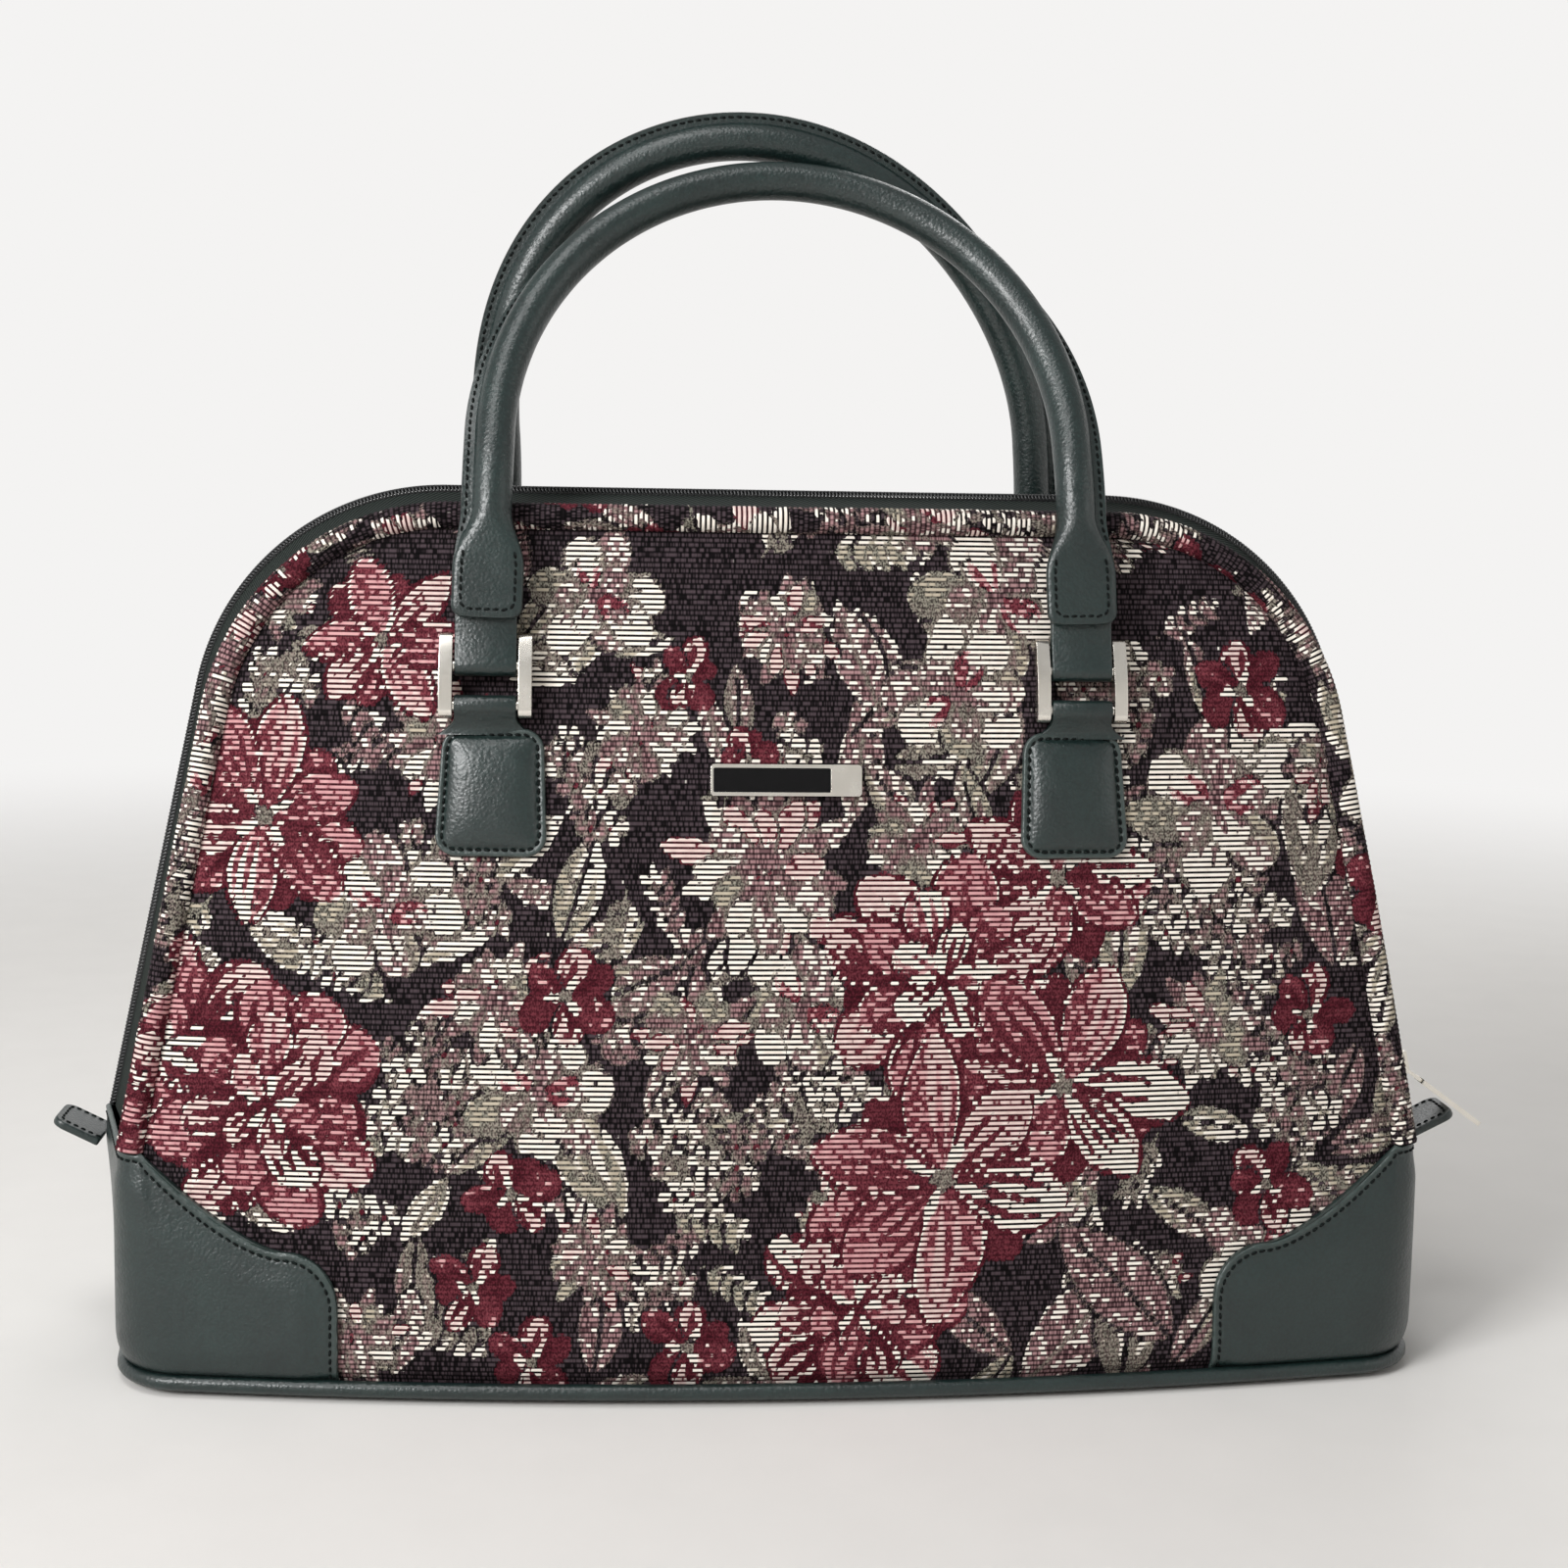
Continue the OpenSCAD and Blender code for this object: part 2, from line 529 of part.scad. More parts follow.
module handle(low, high, roll) {
    half = handle_half();
    n = len(half);
    flat = concat(half, [[0, handle_l, 90]],
        [for (i = [n - 1:-1:0]) [-half[i][0], half[i][1], half[i][2]]]);
    full = [for (h = flat) let(w = 1 - ease((h[1] - tongue_from - tongue_l) / blend_l),
            q = run(h[1], low, high), a = run_lean(h[1], low, high),
            set = -w * (strap_t + seam_gap + tongue_t / 2))
        [h[0], upper_bar_y + q[0] + set * cos(a), upper_bar_z + q[1] - set * sin(a)]];
    skin([for (i = [0:len(flat) - 1])
        let(t = along(full, i), lean = run_lean(flat[i][1], low, high),
            face = [0, -cos(lean), sin(lean)], side = unit(cross(face, t)),
            nose = cross(t, side),
            w = 1 - ease((flat[i][1] - tongue_from - tongue_l) / blend_l),
            point = min(1, 0.7 + (flat[i][1] - tongue_from) / (tongue_l * 0.42)),
            a = grip_d / 2 * (1 - w) + tongue_w / 2 * w * point,
            b = grip_d / 2 * (1 - w) + tongue_t / 2 * w,
            g = roll * sin(flat[i][2]))
        [for (p = grip_section(a, b, flange_w * (1 - w)))
            full[i] - side * (p[0] * cos(g) + p[1] * sin(g))
                + nose * (p[1] * cos(g) - p[0] * sin(g))]]);
}
// Strap round the upper bar, its tails sewn behind the handle's tongue.
module strap_loop(low) {
    tail = tongue_from + tongue_l - 3;
    translate([fitting_x, upper_bar_y, upper_bar_z]) rotate([-low, 0, 0]) difference() {
        union() {
            rotate([0, 90, 0]) cylinder(r = loop_r, h = strap_w, center = true);
            across(strap_w) polygon([[-loop_r * 0.86, loop_r * 0.5], [-strap_t, loop_r * 2],
                [-strap_t, tail], [strap_t, tail], [strap_t, loop_r * 2],
                [loop_r * 0.86, loop_r * 0.5], [0, 0]]);
        }
        rotate([0, 90, 0]) cylinder(r = bore_r, h = tab_w, center = true);
    }
}

// Name plate in the middle of the front, above the panel's middle.
module on_plate() {
    on_skin(0, front_h - plate_drop) translate([0, -plate_seat, 0]) rotate([90, 0, 0]) children();
}
enamel_t = plate_t * 0.3;
module enamel_place() {
    translate([-(plate_l - plate_h + enamel_h - enamel_l) / 2 - (plate_h - enamel_h) / 4 + 0.4, 0,
        plate_t - enamel_t]) children();
}

// The pieces.
module front_panel() { color(tapestry) panel(); }
module back_panel() { color(tapestry) as_back() panel(); }
module front_piping() { color(tapestry) piping(); }
module back_piping() { color(tapestry) as_back() piping(); }
module corner_front_right() { color(leather) corner_guard(); }
module corner_front_left() { color(leather) as_left() corner_guard(); }
module corner_back_right() { color(leather) as_back() corner_guard(); }
module corner_back_left() { color(leather) as_back() as_left() corner_guard(); }
module base_panel() {
    color(leather) linear_extrude(base_t) polygon(base_plan(-base_piping_d / 2 - seam_gap));
}
module base_piping() {
    color(leather) skin(tube([for (p = base_plan(0)) [p[0], p[1], base_piping_z]],
        base_piping_d / 2, 8, [0, 0, 1], true), true);
}
module base_board() {
    color("tan") translate([0, 0, base_t]) linear_extrude(board_t) polygon(base_plan(-board_inset));
}
module zip_tape_front() { color(black) zip_tape(); }
module zip_tape_back() { color(black) as_back() zip_tape(); }
module zip_chain() {
    color(black) difference() {
        translate([0, chain_w / 2, 0]) rotate([90, 0, 0]) linear_extrude(chain_w) difference() {
            dome(ridge_dome);
            dome(grown(ridge_dome, -chain_t));
            translate([-front_w, zip_foot - 1]) square([2 * front_w, 1 + seam_gap]);
            translate([0, zip_foot - 1]) square([front_w, 1 + slider_l]);
        }
    }
}
module zip_slider() { color(nickel) on_track() slider_body(); }
module zip_pull() { color(nickel) on_pull() pull_frame(); }
module pull_inlay() {
    color("#55585a") on_pull() inlay_place() linear_extrude(inlay_t) rounded(inlay_l, inlay_w, 0.75);
}
module zip_end_right() { color(leather) zip_end(zip_end_tilt); }
module zip_end_left() { color(leather) as_left() zip_end(zip_end_tilt); }
module handle_front() { color(leather) handle(leg_lean, arch_lean, flange_roll); }
module handle_back() { color(leather) as_back() handle(back_lean, back_lean, 0); }
module loop_front_right() { color(leather) strap_loop(leg_lean); }
module loop_front_left() { color(leather) as_left() strap_loop(leg_lean); }
module loop_back_right() { color(leather) as_back() strap_loop(back_lean); }
module loop_back_left() { color(leather) as_back() as_left() strap_loop(back_lean); }
module ring_front_right() { color(nickel) ring(); }
module ring_front_left() { color(nickel) as_left() ring(); }
module ring_back_right() { color(nickel) as_back() ring(); }
module ring_back_left() { color(nickel) as_back() as_left() ring(); }
module tab_front_right() { color(leather) tab(); }
module tab_front_left() { color(leather) as_left() tab(); }
module tab_back_right() { color(leather) as_back() tab(); }
module tab_back_left() { color(leather) as_back() as_left() tab(); }
module name_plate() {
    color(nickel) on_plate() difference() {
        linear_extrude(plate_t) rounded(plate_l, plate_h, 1.5);
        enamel_place() linear_extrude(plate_t) rounded(enamel_l + 0.1, enamel_h + 0.1, 0.6);
    }
}
module plate_inlay() {
    color(black) on_plate() enamel_place() linear_extrude(enamel_t) rounded(enamel_l, enamel_h, 0.55);
}

front_panel();
back_panel();
front_piping();
back_piping();
corner_front_left();
corner_front_right();
corner_back_left();
corner_back_right();
base_panel();
base_piping();
base_board();
zip_tape_front();
zip_tape_back();
zip_chain();
zip_slider();
zip_pull();
pull_inlay();
zip_end_left();
zip_end_right();
handle_front();
handle_back();
loop_front_left();
loop_front_right();
loop_back_left();
loop_back_right();
ring_front_left();
ring_front_right();
ring_back_left();
ring_back_right();
tab_front_left();
tab_front_right();
tab_back_left();
tab_back_right();
name_plate();
plate_inlay();
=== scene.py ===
"""Looks of a carpet bag: floral tapestry panels, dark green leather trim and nickel fittings.

Lengths are in millimetres until a mesh is made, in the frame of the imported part:
+Z up, X along the bag's width, the front panel towards -Y.
"""

import math

import bmesh
import bpy
import numpy as np
from mathutils import Matrix, Vector


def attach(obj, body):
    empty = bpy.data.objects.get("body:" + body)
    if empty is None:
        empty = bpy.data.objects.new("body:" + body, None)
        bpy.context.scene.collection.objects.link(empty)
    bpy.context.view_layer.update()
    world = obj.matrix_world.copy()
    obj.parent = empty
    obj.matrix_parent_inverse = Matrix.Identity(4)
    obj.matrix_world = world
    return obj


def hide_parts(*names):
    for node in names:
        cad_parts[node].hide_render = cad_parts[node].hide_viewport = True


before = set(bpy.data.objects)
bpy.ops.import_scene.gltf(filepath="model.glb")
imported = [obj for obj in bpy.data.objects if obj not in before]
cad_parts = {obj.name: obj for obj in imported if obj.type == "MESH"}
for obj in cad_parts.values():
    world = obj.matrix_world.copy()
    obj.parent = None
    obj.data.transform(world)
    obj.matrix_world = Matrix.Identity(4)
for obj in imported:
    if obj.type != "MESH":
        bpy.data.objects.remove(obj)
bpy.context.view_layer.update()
MM = 0.001

# Sizes of the bag, as in the part's source
FRONT_W, FRONT_H, SHOULDER_R, SIDE_LEAN = 500, 334, 95, math.radians(10.3)
BASE_D, PANEL_LEAN, PANEL_MID, BOW_R = 190, math.radians(10), 167, 1570
PANEL_T, PIPING_D = 3, 10.4
ZIP_RISE, ZIP_BULGE, ZIP_EASE, ZIP_ROUND, ZIP_FOOT = 5.5, 15.5, math.radians(2.1), 5, 91
CHAIN_W, CHAIN_T, SLIDER_L = 6, 2.4, 14
GUARD_W, GUARD_EDGE, GUARD_ROUND, GUARD_T = 84, 35, 21, 1.8
FOOT_W, CORNER_FOOT_R, CORNER_TOP_R = 516, 28, 10
SLANT_FOOT, SLANT_TOP = math.radians(8), math.radians(16)
BASE_PIPING_D, BASE_PIPING_Z = 6, 5
FITTING_X, LOWER_BAR_Z, BAR_STANDOFF, BAR_GAP, BAR_D = 112.5, 259, 6.4, 15, 4
STRAP_W, STRAP_T = 23, 1.8
TAB_W, TAB_H, TAB_ROUND, TAB_CROWN, TAB_DROP = 40, 48, 8, 5.4, 8.5
HANDLE_L, ARCH_H, ARCH_W, GRIP_D = 206, 120, 220, 15
FLANGE_W, FLANGE_T, FLANGE_ROLL = 4, 2.6, math.radians(55)
LEG_LEAN, ARCH_LEAN, BACK_LEAN = math.radians(10), math.radians(29), math.radians(5.5)
TONGUE_FROM, TONGUE_L, TONGUE_W, TONGUE_T, BLEND_L = 17.5, 19, 26, 4.4, 22
SEAM_GAP, BAR_PLAY = 0.2, 0.1
LEG_L = HANDLE_L - ARCH_H
BEND_FROM, BEND_TO = HANDLE_L * 0.28, HANDLE_L * 0.43

# Sizes of seams and soft forms, which the part's source leaves out
RIB_PITCH, PANEL_COLUMNS = 1.95, 570
TWILL_PITCH = 1.6
STITCH_PITCH, STITCH_L, STITCH_R = 3.3, 2.5, 0.48
GUARD_STITCH_IN, PAD_STITCH_IN, END_STITCH_IN, TONGUE_STITCH_IN = 2.8, 2.4, 2.6, 3.0
EDGE_ROLL, EDGE_ROLL_W, FOOT_TUCK, FOOT_TUCK_H = 3.6, 14, 4.2, 12
ZIP_END_TILT = math.radians(27)
TAPE_T, TAPE_LAP, TAPE_DIP, TAPE_SAG, TOOTH_STEP = 0.8, 0.6, 1.5, 0.8, 0.7
GROOVE_D, GROOVE_W = 0.45, 0.6
TAB_TAPER, STRAP_FLARE, STRAP_FLARE_L = 0.055, 12.5, 8
TONGUE_TURN, TONGUE_SEAM_TURN, BACK_SWAY = 4.5, 3.5, -13.0

# The filled front panel is a piece of a large ball
BALL_Z = PANEL_MID - BOW_R * math.sin(PANEL_LEAN)
BALL_Y = math.sqrt(BOW_R**2 - BALL_Z**2) - BASE_D / 2


def skin_y(x, z, out=0.0):
    """Y of the front's skin at x and z, or of a skin that lies off it."""
    return BALL_Y - np.sqrt((BOW_R + out) ** 2 - np.square(x) - np.square(z - BALL_Z))


def on_ball(x, z, out):
    """Points of the front's skin at x and z, lifted straight off it."""
    x, z, out = np.broadcast_arrays(x, z, out)
    p = np.stack([x, skin_y(x, z), z], -1).astype(float)
    return p + (p - np.array([0, BALL_Y, BALL_Z])) * (out / BOW_R)[..., None]


def on_skin(x, z):
    """Matrix that sets a piece on the front's skin: X along it, Z up it, -Y out of it."""
    tilt = math.asin((z - BALL_Z) / BOW_R)
    return (Matrix.Translation((0, BALL_Y, BALL_Z)) @ Matrix.Rotation(math.asin(x / BOW_R), 4, "Z")
            @ Matrix.Rotation(-tilt, 4, "X") @ Matrix.Translation((0, -BOW_R, 0)))


def moved(matrix, points):
    """Points in millimetres taken through a matrix."""
    m = np.array(matrix)
    return np.asarray(points, float) @ m[:3, :3].T + m[:3, 3]


# Domed outlines: half width at the foot of the zip, lean of the sides, shoulder radius, height
FRONT_DOME = (FRONT_W / 2, SIDE_LEAN, SHOULDER_R, FRONT_H)
RIDGE_DOME = (FRONT_W / 2 + ZIP_BULGE, SIDE_LEAN + ZIP_EASE, SHOULDER_R + ZIP_ROUND,
              FRONT_H + ZIP_RISE)


def grown(dome, by):
    """A dome drawn outside another."""
    return dome[0] + by / math.cos(dome[1]), dome[1], dome[2] + by, dome[3] + by


def dome_x(dome, z):
    """Half width of a dome between its leaning sides."""
    return dome[0] - (z - ZIP_FOOT) * math.tan(dome[1])


def dome_middle(dome):
    """X and Z of the middle of a dome's right shoulder."""
    z = dome[3] - dome[2]
    return dome_x(dome, z) - dome[2] / math.cos(dome[1]), z


def dome_at(dome, t):
    """Points [x, z] of a dome and the directions out of it. t runs 0 to 1 up the right side,
    to 2 round the shoulder, to 3 along the top, to 4 and 5 down the left."""
    t = np.asarray(t, float)
    flip = t > 2.5
    u = np.where(flip, 5 - t, t)
    mx, mz = dome_middle(dome)
    turn = dome[1] + (math.pi / 2 - dome[1]) * np.clip(u - 1, 0, 1)
    z_top = mz + dome[2] * math.sin(dome[1])
    z_side = ZIP_FOOT + (z_top - ZIP_FOOT) * np.clip(u, 0, 1)
    x = np.where(u < 1, dome_x(dome, z_side), mx + dome[2] * np.cos(turn))
    z = np.where(u < 1, z_side, mz + dome[2] * np.sin(turn))
    x = np.where(u > 2, mx * (1 - 2 * (u - 2)), x)
    sign = np.where(flip, -1, 1)
    out = np.stack([np.where(u > 2, 0, np.cos(turn)) * sign, np.where(u > 2, 1, np.sin(turn))], -1)
    return np.stack([x * sign, z], -1), out


def dome_steps(dome, spacing):
    """Even steps t along a dome."""
    t = np.linspace(0, 5, 4001)
    p, _ = dome_at(dome, t)
    s = np.concatenate([[0], np.cumsum(np.linalg.norm(np.diff(p, axis=0), axis=1))])
    n = int(round(s[-1] / spacing))
    return np.interp(np.linspace(0, s[-1], n + 1), s, t), np.linspace(0, s[-1], n + 1)


# Plan of the lower walls: bowed front, round corner, slanted side
WALL_FOOT = BASE_PIPING_Z + BASE_PIPING_D / 2 + SEAM_GAP / 2
GUARD_TOP = ZIP_FOOT - SEAM_GAP
GUARD_IN = FRONT_W / 2 - GUARD_W
GUARD_KNEE = GUARD_EDGE + GUARD_ROUND


def wall_corner(z):
    """The round corner at a height: its middle, radius, where its turn starts, the side's slant
    and the side's X at the bag's middle."""
    up = (z - WALL_FOOT) / (GUARD_TOP - WALL_FOOT)
    r = CORNER_FOOT_R + (CORNER_TOP_R - CORNER_FOOT_R) * up
    slant = SLANT_FOOT + (SLANT_TOP - SLANT_FOOT) * up
    side = FOOT_W / 2 + (RIDGE_DOME[0] - FOOT_W / 2) * up
    b = np.tan(slant)
    a = side - r / np.cos(slant)
    reach = np.sqrt(BOW_R**2 - (z - BALL_Z) ** 2) - r
    q = BALL_Y - a * b
    y = (q - np.sqrt(q * q - (1 + b * b) * (a * a + BALL_Y**2 - reach**2))) / (1 + b * b)
    x = a + b * y
    return x, y, r, np.arctan(x / (BALL_Y - y)), slant, side


def corner_x(z, out=0.0):
    """X at which the front runs into the round corner."""
    x, _, r, turn, _, _ = wall_corner(z)
    return x + (r + out) * np.sin(turn)


def wall_pt(z, s, out, x0):
    """Points of the right front wall: s 0 to 1 along the front from x0, 1 to 2 round the
    corner and 2 to 3 along the side to its middle."""
    z, s, out = np.broadcast_arrays(np.asarray(z, float), s, out)
    cx, cy, r, t0, slant, side = wall_corner(z)
    r = r + out
    t1 = math.pi / 2 - slant
    t = t0 + (t1 - t0) * np.clip(s - 1, 0, 1)
    fx = x0 + (corner_x(z, out) - x0) * np.clip(s, 0, 1)
    ex, ey = cx + r * np.sin(t), cy - r * np.cos(t)
    mx, my = side + out / np.cos(slant) - SEAM_GAP * np.tan(slant), -SEAM_GAP
    k = np.clip(s - 2, 0, 1)
    x = np.where(s <= 1, fx, ex + (mx - ex) * k)
    y = np.where(s <= 1, skin_y(fx, z, out), ey + (my - ey) * k)
    return np.stack([x, y, z], -1)


# Making meshes
def quads(rows, cols, close_rows=False, close_cols=False):
    """Faces of a grid of points, row after row."""
    i = np.arange(rows if close_rows else rows - 1)[:, None]
    j = np.arange(cols if close_cols else cols - 1)[None, :]
    i1, j1 = (i + 1) % rows, (j + 1) % cols
    return np.stack([i * cols + j, i * cols + j1, i1 * cols + j1, i1 * cols + j], -1).reshape(-1, 4)


def swept(rings, loop=False):
    """Points and faces of a closed skin over rings of points, with flat ends."""
    n, m, _ = rings.shape
    faces = [tuple(f) for f in quads(n, m, loop, True)]
    if not loop:
        faces += [tuple(range(m - 1, -1, -1)), tuple(range((n - 1) * m, n * m))]
    return rings.reshape(-1, 3), faces


def many(rings):
    """Points and faces of many like skins, each over its own rings of points."""
    _, one = swept(rings[0])
    size = rings[0].size // 3
    return rings.reshape(-1, 3), [tuple(i + size * n for i in f) for n in range(len(rings)) for f in one]


def joined(parts):
    """Several sets of points and faces as one."""
    points, faces, at = [], [], 0
    for p, f in parts:
        points.append(np.asarray(p, float))
        faces += [tuple(int(i) + at for i in face) for face in f]
        at += len(p)
    return np.concatenate(points), faces


def place_of(left, back):
    """Words for one of four places, as in the names of the nodes."""
    return f"{'back' if back else 'front'}_{'left' if left else 'right'}"


def flipped(part, left, back):
    """A part of the right front set at the left or the back."""
    p, f = part
    p = p * np.array([-1 if left else 1, -1 if back else 1, 1])
    return (p, [tuple(reversed(face)) for face in f]) if left != back else (p, f)


def shown(name, mesh, finish, body, node, crease):
    """A mesh as a named piece on its body."""
    mesh.polygons.foreach_set("use_smooth", [True] * len(mesh.polygons))
    mesh.set_sharp_from_angle(angle=math.radians(crease))
    mesh.materials.append(finish)
    made = bpy.data.objects.new(name, mesh)
    bpy.context.scene.collection.objects.link(made)
    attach(made, body)
    if node:
        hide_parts(node)
    return made


def piece(name, part, finish, body="bag", node=None, crease=40, outward=True):
    """A piece from points in millimetres and faces."""
    points, faces = part
    mesh = bpy.data.meshes.new(name)
    mesh.from_pydata((np.asarray(points) * MM).tolist(), [], [tuple(map(int, f)) for f in faces])
    if outward:
        b = bmesh.new()
        b.from_mesh(mesh)
        bmesh.ops.recalc_face_normals(b, faces=b.faces)
        b.to_mesh(mesh)
        b.free()
    return shown(name, mesh, finish, body, node, crease)


def softened(node, finish, body, edge, crease=30):
    """A piece of the CAD solid's own shape with its hard edges rounded."""
    b = bmesh.new()
    b.from_mesh(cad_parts[node].data)
    bmesh.ops.remove_doubles(b, verts=b.verts, dist=2e-6)
    bmesh.ops.dissolve_limit(b, angle_limit=0.01, verts=b.verts, edges=b.edges)
    sharp = [e for e in b.edges if len(e.link_faces) == 2 and e.calc_face_angle(0) > 0.6]
    bmesh.ops.bevel(b, geom=sharp, offset=edge * MM, segments=2, profile=0.5, affect="EDGES",
                    clamp_overlap=True)
    bmesh.ops.recalc_face_normals(b, faces=b.faces)
    mesh = bpy.data.meshes.new(node + "_piece")
    b.to_mesh(mesh)
    b.free()
    made = shown(node + "_piece", mesh, finish, body, node, crease)
    even = made.modifiers.new("flat_faces_stay_flat", "WEIGHTED_NORMAL")
    even.weight, even.keep_sharp = 100, True


def unit(v):
    """Vectors at length 1."""
    return v / np.maximum(np.linalg.norm(v, axis=-1, keepdims=True), 1e-12)


def along(path, loop=False):
    """Directions along a path of points."""
    if loop:
        return unit(np.roll(path, -1, 0) - np.roll(path, 1, 0))
    return unit(np.gradient(path, axis=0))


def evenly(path, spacing):
    """A path's points again at even steps, and the steps."""
    s = np.concatenate([[0], np.cumsum(np.linalg.norm(np.diff(path, axis=0), axis=1))])
    n = max(2, int(round(s[-1] / spacing)) + 1)
    at = np.linspace(0, s[-1], n)
    return np.stack([np.interp(at, s, path[:, k]) for k in range(path.shape[1])], -1), at


def tube(path, radius, sides, away, loop=False):
    """Rings of a round tube; the path never runs along the direction away."""
    t = along(path, loop)
    u = unit(np.cross(t, away))
    v = np.cross(t, u)
    a = (np.arange(sides) + 0.5) * 2 * math.pi / sides
    r = np.broadcast_to(np.asarray(radius, float), (len(path),))[:, None, None]
    return path[:, None] + r * (u[:, None] * np.cos(a)[:, None] + v[:, None] * np.sin(a)[:, None])


def strap(path, across, width, thick, edge=0.5):
    """A leather strap with rounded edges along a path, wide along one direction."""
    t = along(path)
    side = unit(np.broadcast_to(across, path.shape))
    up = unit(np.cross(t, side))
    w = np.broadcast_to(np.asarray(width, float), (len(path),))[:, None] / 2
    h, e = thick / 2, edge
    rim = [(1, -e, h), (1, -0.3 * e, h - 0.3 * e), (1, 0, h - e), (1, 0, e - h),
           (1, -0.3 * e, 0.3 * e - h), (1, -e, -h), (-1, e, -h), (-1, 0.3 * e, 0.3 * e - h),
           (-1, 0, e - h), (-1, 0, h - e), (-1, 0.3 * e, h - 0.3 * e), (-1, e, h)]
    rings = np.stack([path + side * (k * w + x) + up * y for k, x, y in rim], 1)
    return swept(rings)


def stitches(path, lift, slant=0.12):
    """A row of sewn stitches along a path: each a short bowed thread whose ends go down into
    the leather. The lift is the direction off the surface at each point of the path."""
    both, _ = evenly(np.concatenate([path, lift], 1), STITCH_PITCH)
    p, up = both[:, :3], unit(both[:, 3:])
    t = along(p)
    t = unit(t + np.cross(up, t) * slant)
    side = unit(np.cross(t, up))
    ring = np.arange(6) * math.pi / 3
    rows = [(-0.5, -0.25, 0.55), (-0.3, 0.1, 1), (0, 0.2, 1.05), (0.3, 0.1, 1), (0.5, -0.25, 0.55)]
    return many(np.stack([
        (p + t * (k * STITCH_L) + up * h)[:, None]
        + STITCH_R * r * (side[:, None] * np.cos(ring)[:, None] + up[:, None] * np.sin(ring)[:, None])
        for k, h, r in rows], 1))


def rounded_rect(w, h, r, inset=0.0, arc=9, side=9):
    """Outline of a rounded rectangle, drawn in by an inset, always with the same points."""
    r_in = max(r - inset, 0.3)
    a = math.radians(90) * np.arange(arc) / (arc - 1)
    pts = []
    for k, (sx, sz) in enumerate([(1, 1), (-1, 1), (-1, -1), (1, -1)]):
        at = np.array([sx * (w / 2 - inset - r_in), sz * (h / 2 - inset - r_in)])
        pts.append(at + r_in * np.stack([np.cos(a + k * math.pi / 2), np.sin(a + k * math.pi / 2)], -1))
    straight = np.arange(1, side)[:, None] / side
    out = []
    for k in range(4):
        out += [pts[k], pts[k][-1] + (pts[(k + 1) % 4][0] - pts[k][-1]) * straight]
    return np.concatenate(out)


# Finishes
def linear(hex_colour):
    """An sRGB hex value as linear light."""
    c = [int(hex_colour[i:i + 2], 16) / 255 for i in (1, 3, 5)]
    return (*[x / 12.92 if x <= 0.04045 else ((x + 0.055) / 1.055) ** 2.4 for x in c], 1.0)


# Settings of a mix of two colours, and of a soft step
COLOURS = {"out": 2, "data_type": "RGBA"}
SOFT = {"interpolation_type": "SMOOTHSTEP"}


def finish_of(name):
    """A new material and the inputs of its shader."""
    m = bpy.data.materials.new(name)
    m.use_nodes = True
    return m, m.node_tree.nodes["Principled BSDF"].inputs


def add(finish, kind, inputs=(), out=0, **settings):
    """Adds a node with its settings, values and links, and returns one of its outputs."""
    n = finish.node_tree.nodes.new("ShaderNode" + kind)
    for key, value in settings.items():
        setattr(n, key, value)
    for key, value in dict(inputs).items():
        if isinstance(value, bpy.types.NodeSocket):
            finish.node_tree.links.new(value, n.inputs[key])
        else:
            n.inputs[key].default_value = value
    return n.outputs[out]


def join(finish, value, socket):
    """Links an output to an input."""
    finish.node_tree.links.new(value, socket)


